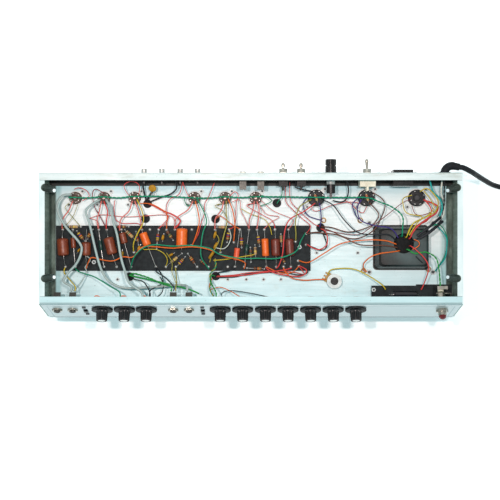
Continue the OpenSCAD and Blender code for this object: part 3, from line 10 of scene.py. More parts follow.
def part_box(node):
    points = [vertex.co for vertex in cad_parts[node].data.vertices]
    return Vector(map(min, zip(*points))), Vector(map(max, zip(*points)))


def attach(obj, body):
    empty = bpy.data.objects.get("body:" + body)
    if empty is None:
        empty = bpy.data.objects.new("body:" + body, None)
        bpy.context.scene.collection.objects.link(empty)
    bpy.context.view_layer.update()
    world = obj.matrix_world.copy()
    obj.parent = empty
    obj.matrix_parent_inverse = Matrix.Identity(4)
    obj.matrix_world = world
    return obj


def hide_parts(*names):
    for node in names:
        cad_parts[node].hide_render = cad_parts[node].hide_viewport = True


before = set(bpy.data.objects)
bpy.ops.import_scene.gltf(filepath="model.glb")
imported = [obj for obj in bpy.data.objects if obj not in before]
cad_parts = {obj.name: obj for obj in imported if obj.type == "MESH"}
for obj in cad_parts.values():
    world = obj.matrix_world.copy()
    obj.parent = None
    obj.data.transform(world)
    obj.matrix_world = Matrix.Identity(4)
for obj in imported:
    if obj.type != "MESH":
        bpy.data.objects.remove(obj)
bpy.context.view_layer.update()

MM = 0.001
BODY = "chassis"
UP = Vector((0, 0, 1))
scene = bpy.context.scene
rng = random.Random(7)

# Planes of the chassis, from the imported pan
pan_low, pan_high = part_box("chassis_pan")
FOOT_Y = pan_low[1] / MM
STAND = pan_low[2] / MM
REAR_Y = pan_high[1] / MM
RIM = pan_high[2] / MM
HALF_W = pan_high[0] / MM
SHEET = 1.5
FLOOR = STAND + SHEET
WALL_RUN, WALL_HEIGHT = 23, 63.5
LEAN = math.atan2(WALL_RUN, WALL_HEIGHT)
RIM_FRONT = FOOT_Y + (RIM - STAND) * math.tan(LEAN)
LAY = REAR_Y - 100
SOCKET_Y = REAR_Y - 33.5
REAR_ROW = 30
KNOB_ROW = 46.5
JACK_ROW = 43.5
BOARD_Y = LAY - 9
BOARD_TOP = FLOOR + 4.8
BIAS_BOARD_TOP = FLOOR + 14.4

KNOB_X = [-217.5, -185, -153, -45, -12.2, 21, 54, 87, 120, 153]
JACK_X = [-284, -261.4, -114, -91]
PILOT_X = 280
CORD_X = 286
NOVAL_X = [-264, -221, -175, -85, -39, 7]
OCTAL_X = [98, 173.5, 249]
GROMMETS = [(-156, 58), (-159, 35.5), (-53.5, 35), (39, 59), (105, 22), (-183, -52), (-53, -51)]
BIAS_AT = (125, -58.5)
BIAS_TURN = 150
MAINS_AT = (226, -8)

# The camera looks straight down from above the chassis; its focal length is in pixels of the square photo
PHOTO_SIDE = 500
FOCAL = 894
SENSOR = 36
camera_data = bpy.data.cameras.new("camera")
camera_data.sensor_width = SENSOR
camera_data.lens = SENSOR * FOCAL / PHOTO_SIDE
camera_data.clip_start = 0.05
camera = bpy.data.objects.new("camera", camera_data)
camera.location = Vector((-1.5, LAY - 11.77, 1439.5)) * MM
scene.collection.objects.link(camera)
scene.camera = camera


# Materials
def rgb(r, g, b):
    """A colour given as it shows on screen, 0 to 255, in linear light."""
    return tuple(((c / 255 + 0.055) / 1.055) ** 2.4 if c > 10 else c / 255 / 12.92 for c in (r, g, b)) + (1,)


class Nodes:
    """A node tree that is being built; an input takes another node's output or a constant."""

    def __init__(self, tree):
        self.tree = tree

    def feed(self, socket, value):
        if hasattr(value, "is_output"):
            self.tree.links.new(value, socket)
        else:
            socket.default_value = value

    def node(self, kind, *values, **named):
        """A new node: names in lower case are its settings, all others and the places its inputs."""
        made = self.tree.nodes.new("ShaderNode" + kind)
        for key, value in named.items():
            if key.islower():
                setattr(made, key, value)
        for place, value in enumerate(values):
            self.feed(made.inputs[place], value)
        for key, value in named.items():
            if not key.islower():
                self.feed(made.inputs[key.replace("_", " ")], value)
        return made

    def math(self, how, a, b=0.0):
        return self.node("Math", a, b, operation=how).outputs[0]

    def both(self, a, b):
        return self.math("MULTIPLY", a, b)

    def either(self, a, b):
        return self.math("MAXIMUM", a, b)

    def between(self, value, low, high):
        return self.both(self.math("GREATER_THAN", value, low), self.math("LESS_THAN", value, high))

    def near(self, value, middle, reach):
        return self.math("LESS_THAN", self.math("ABSOLUTE", self.math("SUBTRACT", value, middle)), reach)

    def seen(self):
        """1 for rays that show what they hit: from the camera, mirrored or through glass."""
        path = self.node("LightPath").outputs
        return self.either(self.either(path["Is Camera Ray"], path["Is Glossy Ray"]), path["Is Transmission Ray"])


class Surface(Nodes):
    """A node material: textures in object coordinates feeding one Principled shader."""

    def __init__(self, name, metal=0.0, **sockets):
        self.material = bpy.data.materials.new(name)
        self.material.use_nodes = True
        super().__init__(self.material.node_tree)
        self.shader = self.tree.nodes["Principled BSDF"]
        self.coords = self.node("TexCoord").outputs["Object"]
        self.shine(Metallic=metal, **sockets)

    def shine(self, **sockets):
        for key, value in sockets.items():
            self.feed(self.shader.inputs[key.replace("_", " ")], value)

    def noise(self, scale, detail=4.0, stretch=(1, 1, 1), rough=0.55):
        mapped = self.node("Mapping", Vector=self.coords, Scale=stretch).outputs[0]
        return self.node("TexNoise", Vector=mapped, Scale=scale, Detail=detail, Roughness=rough).outputs["Fac"]

    def ramp(self, fac, *stops):
        made = self.node("ValToRGB", Fac=fac)
        points = made.color_ramp.elements
        while len(points) < len(stops):
            points.new(0.5)
        for point, (at, colour) in zip(points, stops):
            point.position = at
            point.color = rgb(*colour)
        return made.outputs["Color"]

    def mottle(self, fac, dark, light):
        return self.ramp(fac, (0.3, dark), (0.7, light))

    def spread(self, fac, low, high, start=0.3, end=0.7):
        return self.node("MapRange", Value=fac, From_Min=start, From_Max=end, To_Min=low, To_Max=high).outputs[0]

    def mix(self, fac, a, b, how="MIX"):
        """Two colours mixed; one given in numbers is as it shows on screen."""
        made = self.node("Mix", fac, data_type="RGBA", blend_type=how)
        for socket, value in ((made.inputs[6], a), (made.inputs[7], b)):
            self.feed(socket, rgb(*value) if isinstance(value, tuple) else value)
        return made.outputs[2]

    def axis(self, letter):
        return self.node("SeparateXYZ", Vector=self.coords).outputs[letter]

    def upward(self):
        """How far a face looks up."""
        return self.node("SeparateXYZ", Vector=self.node("NewGeometry").outputs["Normal"]).outputs["Z"]

    def over(self, letter, limit):
        return self.math("GREATER_THAN", self.axis(letter), limit * MM)

    def fade(self, letter, low, high, start, end):
        """A value that runs from low to high between two places on an axis."""
        return self.spread(self.axis(letter), low, high, start * MM, end * MM)

    def away(self, middle, reach):
        """Squared distance from a middle in X and Y, 1 on the ellipse that reaches so far."""
        parts = [self.math("DIVIDE", self.math("SUBTRACT", self.axis(letter), at * MM), size * MM)
                 for letter, at, size in zip("XY", middle, reach)]
        return self.math("ADD", *(self.both(part, part) for part in parts))

    def colour(self, output):
        self.shine(Base_Color=output)

    def rough(self, fac, low, high):
        self.shine(Roughness=self.spread(fac, low, high))

    def bump(self, height, strength=0.2, depth=0.0003):
        self.shine(Normal=self.node("Bump", Height=height, Strength=strength, Distance=depth).outputs[0])


def plain(name, dark, light, grain=90, rough=(0.4, 0.6), metal=0.0, bump=0.15, bump_grain=900,
          stretch=(1, 1, 1), **sockets):
    """A mottled finish between two colours, with fine bump and uneven gloss."""
    sockets.setdefault("Specular_IOR_Level", 0.3 if metal < 0.5 else 0.5)
    s = Surface(name, metal, **sockets)
    s.colour(s.mottle(s.noise(grain, 6, stretch), dark, light))
    fine = s.noise(bump_grain, 3, stretch)
    s.rough(fine, *rough)
    s.bump(fine, bump)
    return s.material


def plated_sheet(name):
    """Pale plated steel: rolling lines, cloudy plating, brown stains, and painted shade: cooler towards the front, a
    dark band on the rim's front edge, streaky dark strips along the end walls and a near-black strip under the rear
    flange.
    """
    s = Surface(name, 0.05, Specular_IOR_Level=0.3)
    base = s.mottle(s.noise(60, 5, (0.25, 4, 1)), (234, 240, 240), (249, 252, 252))
    cloud = s.ramp(s.noise(14, 6), (0.38, (230, 240, 241)), (0.62, (255, 255, 255)))
    base = s.mix(0.55, base, cloud, "MULTIPLY")
    # Painted shade: the sheet turns cooler and darker towards the front.
    base = s.mix(s.fade("Y", 1.0, 0.0, -95, 20), base, (222, 247, 252), "MULTIPLY")
    rim = s.over("Z", RIM - 2)
    base = s.mix(rim, base, (243, 241, 239), "MULTIPLY")
    # Painted shade: a darker band along the rim's front edge.
    rim_edge_shade = s.fade("Y", 0.55, 0.0, RIM_FRONT + 1.2, RIM_FRONT + 2.2)
    base = s.mix(s.both(rim_edge_shade, rim), base, (128, 142, 142))
    stain = s.spread(s.noise(22, 8, (1, 1.6, 1), 0.7), 0.0, 0.35, 0.58, 0.72)
    smear = s.both(s.spread(s.noise(26, 8, (0.5, 2.5, 1), 0.72), 0.0, 0.6, 0.52, 0.7), rim)
    stain = s.either(stain, s.both(smear, s.fade("Y", 0.0, 1.0, 0, 50)))
    base = s.mix(stain, base, (176, 168, 150))
    base = s.mix(s.spread(s.noise(420, 2), 0.0, 0.55, 0.71, 0.76), base, (96, 96, 92))
    on_floor = s.math("LESS_THAN", s.axis("Z"), (FLOOR + 0.5) * MM)
    across = s.math("ABSOLUTE", s.axis("X"))
    # Painted shade: a cool, darker band on the floor next to each end wall.
    tint = s.spread(across, 0.0, 0.9, (HALF_W - 20) * MM, (HALF_W - 15) * MM)
    base = s.mix(s.both(tint, on_floor), base, (192, 216, 216), "MULTIPLY")
    # Painted shadow, streaked like grime: a dark strip on the floor along each end wall.
    grime = s.ramp(s.noise(70, 6, (1, 0.35, 1), 0.65), (0.3, (32, 41, 36)), (0.5, (68, 84, 75)), (0.7, (116, 136, 126)))
    edge = s.spread(across, 0.0, 1.0, (HALF_W - 11) * MM, (HALF_W - 9) * MM)
    base = s.mix(s.both(edge, on_floor), base, grime)
    # Painted shade: the rear wall's soft shadow, a cool band on the floor.
    shade = s.fade("Y", 0.0, 0.85, REAR_Y - 36, REAR_Y - 17)
    base = s.mix(s.both(shade, on_floor), base, (190, 222, 230), "MULTIPLY")
    # Painted shadow: a near-black strip on the floor under the rear flange.
    rear = s.fade("Y", 0.0, 1.0, REAR_Y - 15.6, REAR_Y - 14.8)
    s.colour(s.mix(s.both(rear, on_floor), base, (13, 19, 18)))
    s.rough(s.noise(120, 4, (0.4, 3, 1)), 0.42, 0.6)
    s.bump(s.noise(500, 3, (0.15, 5, 1)), 0.12)
    return s.material


def wall_sheet(name):
    """The end plates: pale flanges on top; the walls, streaked up and down, painted darker grey-green as shade by how
    far a face looks up.
    """
    s = Surface(name, 0.08)
    streak = s.noise(60, 6, (1, 2.2, 0.12), 0.65)
    wall = s.ramp(streak, (0.25, (108, 124, 112)), (0.5, (146, 160, 148)), (0.75, (184, 196, 186)))
    top = s.mottle(s.noise(30, 6, (1.6, 0.4, 1)), (206, 220, 220), (240, 245, 245))
    # Painted shade: faces that look sideways take the darker wall colours.
    base = s.mix(s.spread(s.upward(), 0.0, 1.0, 0.5, 0.7), wall, top)
    stain = s.spread(s.noise(20, 8, (1, 1, 0.6), 0.7), 0.0, 0.3, 0.6, 0.75)
    s.colour(s.mix(stain, base, (128, 124, 110)))
    s.rough(s.noise(160, 4, (1, 2, 0.3)), 0.45, 0.65)
    s.bump(s.noise(420, 3, (1, 4, 0.2)), 0.15)
    return s.material


def brushed_plate(name):
    """The control plate: fine brushing along its length, a printed border line, and a painted shade line along its
    foot.
    """
    border_x, low, high = 0.2955, 0.11, 0.895
    s = Surface(name, 0.45)
    brush = s.noise(900, 4, (0.02, 3, 3), 0.6)
    base = s.mottle(brush, (176, 187, 189), (206, 217, 219))
    # Painted shade: a dark line along the plate's foot.
    base = s.mix(s.fade("Z", 0.85, 0.0, STAND + 4.8, STAND + 5.6), base, (64, 70, 66))
    across = s.math("ABSOLUTE", s.axis("X"))
    height = s.math("DIVIDE", s.math("SUBTRACT", s.axis("Z"), STAND * MM), WALL_HEIGHT * MM)
    ends = s.both(s.near(across, border_x, 0.0006), s.between(height, low - 0.005, high + 0.005))
    level = s.either(s.near(height, low, 0.008), s.near(height, high, 0.008))
    line = s.either(ends, s.both(level, s.math("LESS_THAN", across, border_x + 0.0005)))
    s.colour(s.mix(s.both(line, 0.55), base, (98, 128, 140)))
    s.rough(brush, 0.3, 0.46)
    s.bump(brush, 0.1)
    return s.material


def two_sided(name, outer, inner):
    """A metal fitting through the rear wall: its finish outside, and a darker copy inside the wall and at the front as
    painted shade.
    """
    s = Surface(name, 0.4)
    mottle = s.noise(220, 4)
    ends = [s.mottle(mottle, tuple(int(c * 0.72) for c in colour), colour) for colour in (inner, outer)]
    # Painted shade: the part inside the rear wall takes the darker copy.
    s.colour(s.mix(s.over("Y", REAR_Y - 1), *ends))
    s.rough(s.noise(900, 3), 0.3, 0.5)
    return s.material


def painted_bell(name):
    """Black paint, with painted sheen: grey on the middle of the upper bell and pale along its rear edge."""
    s = Surface(name, 0.0, Specular_IOR_Level=0.24)
    bell_x, bell_y = MAINS_AT[0], MAINS_AT[1] + LAY
    # Painted sheen: grey on the middle of the upper bell.
    top_sheen = s.spread(s.away((bell_x + 8, bell_y - 2), (44, 32)), 0.85, 0.0, 0.1, 1.1)
    grey = s.mottle(s.noise(45, 6), (54, 66, 66), (82, 97, 97))
    paint = s.mottle(s.noise(60, 6), (10, 12, 12), (22, 25, 25))
    base = s.mix(s.both(top_sheen, s.over("Z", FLOOR + 26)), paint, grey)
    # Painted sheen: a pale band along the upper bell's rear edge.
    sheen = s.both(s.near(s.axis("X"), bell_x * MM, 36 * MM), s.over("Z", FLOOR + 25))
    sheen = s.both(s.fade("Y", 0.0, 0.6, bell_y + 27, bell_y + 31), sheen)
    s.colour(s.mix(sheen, base, (164, 178, 178)))
    s.rough(s.noise(500, 3), 0.3, 0.5)
    s.bump(s.noise(500, 3), 0.18)
    return s.material


def fuse_body(name):
    """Black moulding with a bright sleeve next to the rear wall's inner side."""
    s = Surface(name, 0.1, Specular_IOR_Level=0.3)
    sleeve = s.between(s.math("SUBTRACT", REAR_Y * MM, s.axis("Y")), 3 * MM, 15 * MM)
    black = s.mottle(s.noise(200, 4), (12, 12, 14), (26, 26, 30))
    bright = s.ramp(s.noise(160, 5, (2, 0.3, 1)), (0.35, (96, 100, 100)), (0.65, (214, 218, 216)))
    s.colour(s.mix(sleeve, black, bright))
    s.rough(s.noise(900, 3), 0.25, 0.45)
    return s.material


def knob_moulding(name):
    """Black moulding: a shiny grip, and a dial too dull to mirror the table."""
    s = Surface(name)
    s.colour(s.mottle(s.noise(150, 6), (10, 13, 15), (22, 28, 31)))
    fine = s.noise(900, 3)
    s.rough(fine, 0.24, 0.34)
    s.bump(fine, 0.06)
    s.shine(Specular_IOR_Level=s.spread(s.upward(), 0.02, 0.32, 0.4, 0.7))
    return s.material


def screw_ends(name):
    """Pale plated nuts and heads; dark above 16.9 mm over the floor, where the screws stand above their nuts, and in
    two bands lower down.
    """
    s = Surface(name, 0.2)
    height = s.math("SUBTRACT", s.axis("Z"), FLOOR * MM)
    dark = s.math("GREATER_THAN", height, 16.9 * MM)
    for low, high in ((3.25, 5.3), (7.3, 9)):
        dark = s.either(dark, s.between(height, low * MM, high * MM))
    mottle = s.noise(400, 4)
    pale = s.mottle(mottle, (166, 173, 173), (208, 215, 214))
    s.colour(s.mix(dark, pale, s.mottle(mottle, (26, 30, 32), (64, 68, 70))))
    s.rough(s.noise(1200, 3), 0.4, 0.6)
    return s.material


def switch_cases(name):
    """Black switch bodies, the power switch's cream, bright bushings and terminals outside the rear wall."""
    s = Surface(name, 0.1, Specular_IOR_Level=0.2)
    mottle = s.noise(200, 4)
    black = s.mottle(mottle, (12, 14, 14), (30, 32, 32))
    pale = s.mottle(mottle, (206, 198, 176), (234, 228, 210))
    metal = s.mottle(mottle, (132, 130, 121), (178, 176, 167))
    case = s.mix(s.over("X", 130), black, pale)
    s.colour(s.mix(s.over("Y", REAR_Y - 1), case, metal))
    s.rough(s.noise(900, 3), 0.35, 0.55)
    return s.material


def laminated(name, low, high, sheet=1.1):
    """Stacked laminations between two heights, black paint above and below."""
    s = Surface(name, 0.2, Specular_IOR_Level=0.1)
    z = s.axis("Z")
    wave = s.math("SINE", s.both(z, 2 * math.pi / (sheet * MM)))
    inside = s.between(z, low * MM, high * MM)
    rust = s.ramp(s.noise(70, 6), (0.35, (58, 58, 60)), (0.55, (92, 90, 88)), (0.75, (104, 88, 70)))
    layers = s.mix(s.spread(wave, 0.0, 0.6, -0.2, 1.0), rust, (30, 30, 32))
    paint = s.mottle(s.noise(120, 4), (11, 13, 14), (20, 23, 25))
    s.colour(s.mix(inside, paint, layers))
    s.rough(s.noise(300, 3), 0.4, 0.6)
    s.bump(s.both(wave, inside), 0.3)
    return s.material


def clear_glass(name, tint, rough=0.03):
    s = Surface(name, Transmission_Weight=1.0, IOR=1.46)
    s.colour(s.mottle(s.noise(30, 3), tint, tuple(min(255, c + 8) for c in tint)))
    s.rough(s.noise(90, 3), rough, rough + 0.05)
    return s.material


def wire_covering(name, dark, light):
    """Cloth-like covering: a fine weave and a little grime."""
    s = Surface(name, Specular_IOR_Level=0.25)
    weave = s.noise(2600, 2)
    grime = s.spread(s.noise(55, 5), 0.0, 0.35, 0.52, 0.75)
    s.colour(s.mix(grime, s.mottle(weave, dark, light), tuple(int(c * 0.55) for c in dark)))
    s.rough(weave, 0.45, 0.65)
    s.bump(weave, 0.25)
    return s.material


board_black = plain("fibre_board", (22, 26, 28), (42, 47, 49), 130, (0.5, 0.8), 0, 0.3, 1500, Specular_IOR_Level=0.15)
board_brown = plain("cap_brown", (112, 48, 27), (142, 66, 38), 160, (0.28, 0.45), 0, 0.12, 500, Coat_Weight=0.25)
cap_dark = plain("cap_dark_brown", (92, 32, 20), (120, 44, 26), 160, (0.25, 0.4), 0, 0.12, 500, Coat_Weight=0.3)
film_orange = plain("film_orange", (233, 92, 22), (250, 116, 38), 110, (0.25, 0.4), 0, 0.08, 700, Coat_Weight=0.2)
film_salmon = plain("film_salmon", (231, 82, 48), (247, 104, 66), 110, (0.25, 0.4), 0, 0.08, 700, Coat_Weight=0.2)
disc_mustard = plain("disc_mustard", (176, 122, 24), (208, 152, 44), 200, (0.35, 0.55), 0, 0.2, 900)
sleeve_green = plain("sleeve_green", (16, 44, 40), (30, 66, 58), 200, (0.25, 0.45), 0, 0.15, 700)
can_black = plain("can_black", (14, 14, 18), (28, 28, 34), 140, (0.1, 0.2), 0, 0.05, 600, Specular_IOR_Level=0.5)
resistor_brown = plain("resistor_brown", (92, 56, 36), (122, 78, 50), 400, (0.45, 0.65), 0, 0.2, 1500)
resistor_tan = plain("resistor_tan", (176, 140, 98), (205, 170, 124), 400, (0.45, 0.65), 0, 0.2, 1500)
tinned = plain("tinned_wire", (146, 148, 147), (208, 209, 206), 600, (0.28, 0.45), 0.8, 0.1, 2000)
solder_metal = plain("solder", (176, 178, 178), (240, 242, 240), 500, (0.35, 0.6), 0.3, 0.25, 900)
phenolic = plain("phenolic_brown", (76, 62, 55), (122, 105, 96), 260, (0.5, 0.7), 0, 0.25, 1300)
phenolic_black = plain("phenolic_black", (20, 20, 22), (44, 45, 48), 260, (0.4, 0.65), 0, 0.25, 1300)
nickel = plain("nickel", (120, 118, 108), (172, 170, 160), 220, (0.16, 0.34), 0.9, 0.06, 900)
zinc = plain("zinc_screws", (84, 86, 86), (146, 148, 146), 400, (0.3, 0.5), 0.8, 0.12, 1200)
brass = plain("brass_lug", (104, 80, 42), (158, 128, 76), 400, (0.4, 0.6), 0.7, 0.15, 1200)
pot_metal = plain("pot_metal", (132, 130, 121), (178, 176, 167), 180, (0.32, 0.5), 0.75, 0.1, 800)
shield_metal = plain("shield_metal", (178, 180, 180), (220, 222, 222), 90, (0.28, 0.45), 0.85, 0.1, 500, (1, 1, 0.2))
knob_black = knob_moulding("knob_black")
# Painted shade: the bolt channels are much darker than the end plates' steel.
shaded_channel_metal = plain("shaded_channel_metal", (44, 52, 46), (92, 104, 94), 90, (0.45, 0.65), 0.1, 0.2, 600, (1, 1, 0.2))
black_gloss = plain("black_gloss", (9, 11, 12), (20, 23, 24), 150, (0.14, 0.28), 0, 0.06, 900,
                    Specular_IOR_Level=0.22, Coat_Weight=0.1)
rubber = plain("black_rubber", (11, 14, 17), (27, 32, 37), 200, (0.5, 0.7), 0, 0.25, 1200, Specular_IOR_Level=0.18)
cream = plain("cream_phenolic", (196, 188, 164), (228, 222, 202), 160, (0.4, 0.6), 0, 0.15, 900)
eyelet_metal = plain("eyelet", (58, 58, 56), (96, 96, 92), 500, (0.5, 0.7), 0.4)
saddle_plate = plain("saddle_plate", (200, 205, 204), (230, 234, 233), 200, (0.4, 0.6), 0.1)
pale_metal = plain("pale_metal", (176, 183, 182), (206, 213, 212), 180, (0.4, 0.55), 0.2)
tan_wafer = plain("tan_wafer", (150, 116, 62), (188, 152, 92), 300, (0.5, 0.7))
cap_silver = plain("cap_silver", (168, 172, 171), (208, 212, 211), 200, (0.2, 0.36), 0.85, 0.06, 900)
jewel_red = plain("jewel_red", (84, 2, 12), (120, 6, 20), 200, (0.08, 0.16), 0, 0.03, 700, Coat_Weight=0.15)
numeral = plain("numeral_paint", (84, 92, 92), (120, 128, 128), 500, (0.5, 0.7), 0, 0.1, 1500, Specular_IOR_Level=0.05)
getter = plain("getter_flash", (60, 62, 66), (150, 152, 156), 70, (0.12, 0.3), 0.9, 0.05, 400)
anode = plain("anode_grey", (44, 44, 46), (74, 74, 76), 220, (0.5, 0.7), 0.3, 0.2, 900)
mica = plain("mica", (170, 172, 168), (214, 214, 208), 150, (0.2, 0.4), 0, 0.1, 600)
tube_glass = clear_glass("tube_glass", (236, 240, 240))
spigot_pink = plain("spigot_pink", (150, 132, 126), (190, 172, 164), 300, (0.3, 0.5), 0.5)
tie_web = plain("tie_web", (22, 22, 24), (44, 44, 48), 900, (0.7, 0.9), 0, 0.4, 2500)
BAND = {
    name: plain("band_" + name, dark, light, 500, (0.4, 0.6), 0, 0.1, 1500)
    for name, dark, light in [
        ("black", (16, 16, 16), (30, 30, 30)), ("brown", (78, 42, 22), (100, 56, 32)),
        ("red", (160, 24, 18), (188, 40, 30)), ("orange", (214, 104, 20), (236, 130, 40)),
        ("yellow", (206, 172, 24), (232, 200, 48)), ("green", (22, 96, 56), (40, 122, 76)),
        ("violet", (78, 44, 120), (100, 62, 144)), ("gold", (168, 132, 54), (196, 162, 82))]
}
WIRE = {
    name: wire_covering("wire_" + name, dark, light)
    for name, dark, light in [
        ("green", (12, 126, 90), (34, 160, 118)), ("bright_green", (34, 134, 58), (62, 168, 84)),
        ("teal", (20, 150, 146), (52, 190, 184)), ("red", (208, 52, 52), (236, 84, 80)),
        ("dark_red", (118, 22, 34), (156, 40, 50)), ("pink", (222, 106, 100), (244, 138, 130)),
        ("orange", (228, 92, 26), (248, 124, 52)), ("yellow", (196, 164, 32), (226, 198, 66)),
        ("olive", (150, 136, 52), (180, 166, 82)), ("white", (206, 208, 196), (236, 238, 230)),
        ("black", (20, 22, 26), (42, 44, 50)), ("purple", (52, 36, 100), (78, 58, 134)),
        ("brown", (96, 56, 44), (124, 78, 62)), ("grey", (150, 163, 160), (200, 211, 207))]
}


# Forms gathered into one mesh
def frame_on(at, z_axis, y_hint=Vector((0, 1, 0))):
    """A matrix at a point whose Z runs along z_axis."""
    z = Vector(z_axis).normalized()
    hint = y_hint if abs(z.dot(y_hint)) <= 0.95 else Vector((1, 0, 0))
    x = hint.cross(z).normalized()
    return Matrix.Translation(at) @ Matrix((x, z.cross(x), z)).transposed().to_4x4()


def moved(x, y, z):
    return Matrix.Translation((x, y, z))


def spun(degrees, letter):
    return Matrix.Rotation(math.radians(degrees), 4, letter)


def framed(path):
    """The points of a path, each with its direction and a side that turns no more than it must."""
    last = len(path) - 1
    side = (path[1] - path[0]).normalized().orthogonal().normalized()
    for i, p in enumerate(path):
        way = (path[min(i + 1, last)] - path[max(i - 1, 0)]).normalized()
        side = (side - way * side.dot(way)).normalized()
        yield p, way, side


def dress(name, data, body, slot, *nodes):
    """A piece from its mesh or curve: on its body and in place of its CAD nodes; its slot is not used."""
    made = bpy.data.objects.new(name, data)
    scene.collection.objects.link(made)
    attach(made, body)
    if nodes:
        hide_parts(*nodes)
    return made


class Shape:
    """Turned, swept and cut forms, kept together as one piece."""

    def __init__(self):
        self.verts = []
        self.faces = []
        self.slots = []

    def add(self, verts, faces, slots, at=None):
        """Faces with one material slot, or with a list of them."""
        first = len(self.verts)
        self.verts += [tuple(at @ Vector(v)) if at else tuple(v) for v in verts]
        self.faces += [tuple(i + first for i in f) for f in faces]
        self.slots += slots if isinstance(slots, list) else [slots] * len(faces)

    def skin(self, verts, n, slots=0, at=None, ring=False):
        """A skin over rows of n points, with flat ends, or round to the first row for a ring."""
        rows = len(verts) // n
        slots = slots if isinstance(slots, list) else [slots] * rows
        faces, marks = [], []
        for row in range(rows if ring else rows - 1):
            up = n if row < rows - 1 else (1 - rows) * n
            for k in range(n):
                a, b = row * n + k, row * n + (k + 1) % n
                faces.append((a, b, b + up, a + up))
                marks.append(slots[row])
        if not ring:
            faces += [tuple(reversed(range(n))), tuple(range((rows - 1) * n, rows * n))]
            marks += [slots[0], slots[rows - 2]]
        self.add(verts, faces, marks, at)

    def lathe(self, profile, slots=0, at=None, n=32, ripple=None, ring=False):
        """A closed form turned about Z; the profile's r, z points run up, and round to the start for a ring."""
        verts = []
        for row, (r, z) in enumerate(profile):
            for a in (2 * math.pi * k / n for k in range(n)):
                q = r + (ripple(row, a) if ripple else 0)
                verts.append((q * math.cos(a), q * math.sin(a), z))
        self.skin(verts, n, slots, at, ring)

    def tube(self, path, d, slot, sides=6):
        angles = [2 * math.pi * k / sides for k in range(sides)]
        verts = []
        for p, way, side in framed(path):
            up = way.cross(side)
            verts += [p + d / 2 * (math.cos(a) * side + math.sin(a) * up) for a in angles]
        self.skin(verts, sides, slot)

    def box(self, size, at, slot, bevel):
        """A block standing on the matrix's origin, its top edges drawn in by the bevel."""
        x, y, z = size[0] / 2, size[1] / 2, size[2]
        corners = ((-1, -1), (1, -1), (1, 1), (-1, 1))
        rows = ((0, 0), (z - bevel, 0), (z, bevel))
        self.skin([(sx * (x - b), sy * (y - b), h) for h, b in rows for sx, sy in corners], 4, slot, at)

    def done(self, name, materials, slot, node=None, body=BODY, sharp=38):
        mesh = bpy.data.meshes.new(name)
        mesh.from_pydata([(x * MM, y * MM, z * MM) for x, y, z in self.verts], [], self.faces)
        for m in materials:
            mesh.materials.append(m)
        mesh.polygons.foreach_set("material_index", self.slots)
        mesh.polygons.foreach_set("use_smooth", [True] * len(self.faces))
        mesh.set_sharp_from_angle(angle=math.radians(sharp))
        mesh.validate()
        return dress(name, mesh, body, slot, *([node] if node else []))


def smooth_path(points, steps):
    """A smooth curve through the points, as the CAD tubes follow it."""
    p = [Vector(q) for q in points]
    out = []
    for i in range(len(p) - 1):
        a, b, c, d = p[max(i - 1, 0)], p[i], p[i + 1], p[min(i + 2, len(p) - 1)]
        for k in range(steps):
            t = k / steps
            out.append(0.5 * (2 * b + (c - a) * t + (2 * a - 5 * b + 4 * c - d) * t * t
                              + (3 * b - a - 3 * c + d) * t ** 3))
    return out + [p[-1]]


def cable(name, paths, d, material, slot, *nodes, round_steps=2):
    """Round wires along the paths, one spline each."""
    data = bpy.data.curves.new(name, "CURVE")
    data.dimensions = "3D"
    data.bevel_depth = d / 2 * MM
    data.bevel_resolution = round_steps
    data.use_fill_caps = True
    for path in paths:
        spline = data.splines.new("POLY")
        spline.points.add(len(path) - 1)
        for point, p in zip(spline.points, path):
            point.co = (p[0] * MM, p[1] * MM, p[2] * MM, 1)
    data.materials.append(material)
    return dress(name, data, BODY, slot, *nodes)


# The mains cord: out of the strain relief, down to the table and into its put-away coil
CORD_D = 8
COIL_IN = 32
COIL_TURNS = 3.5
COIL_PITCH = CORD_D + 0.6
COIL_AT = (472, LAY + 24)
COIL_OUT = COIL_IN + COIL_TURNS * COIL_PITCH
COIL_STEPS = 24
CORD_Z = CORD_D / 2 + 0.3
RELIEF_BEND = 11
RELIEF_TURN = math.radians(100)
relief_out = Vector((CORD_X + RELIEF_BEND * (1 - math.cos(RELIEF_TURN)),
                     REAR_Y + 1.5 + RELIEF_BEND * math.sin(RELIEF_TURN), STAND + REAR_ROW))
relief_way = Vector((math.sin(RELIEF_TURN), math.cos(RELIEF_TURN), 0))
coil_start = Vector((COIL_AT[0], COIL_AT[1] + COIL_OUT, CORD_Z))
cord_route = [relief_out + reach * relief_way for reach in (3.2, 9, 16)]
cord_route += [relief_out + Vector((30, -8, -10))]
cord_route += [Vector((x, y + LAY, z)) for x, y, z in ((340, 102, 88), (364, 96, 50), (386, 91, 20))]
cord_route += [Vector((412, coil_start[1] + 1, CORD_Z + 1)), coil_start - Vector((30, 0, 0)),
               coil_start - Vector((CORD_D, 0, 0))]
coil_points = []
for step in range(COIL_STEPS * round(2 * COIL_TURNS) + 1):
    turn = step / COIL_STEPS - COIL_TURNS
    angle = math.radians(90 - step * 360 / COIL_STEPS)
    reach = COIL_IN + COIL_PITCH * abs(turn)
    climb = min(max(2 * turn + 0.5, 0), 1)
    coil_points.append(Vector((COIL_AT[0] + reach * math.cos(angle), COIL_AT[1] + reach * math.sin(angle),
                               CORD_Z + COIL_PITCH * climb * climb * (3 - 2 * climb))))
coil_points.append(coil_start + Vector((32, 0, COIL_PITCH)))
cord_path = smooth_path(cord_route, 6) + smooth_path([cord_route[-1]] + coil_points, 2)[1:]
cord_length = sum((b - a).length for a, b in zip(cord_path, cord_path[1:])) * MM
mains_cord = cable("mains_cord", [cord_path], CORD_D, rubber, "black_rubber", "mains_cord_run", "mains_cord_coil",
                   round_steps=5)

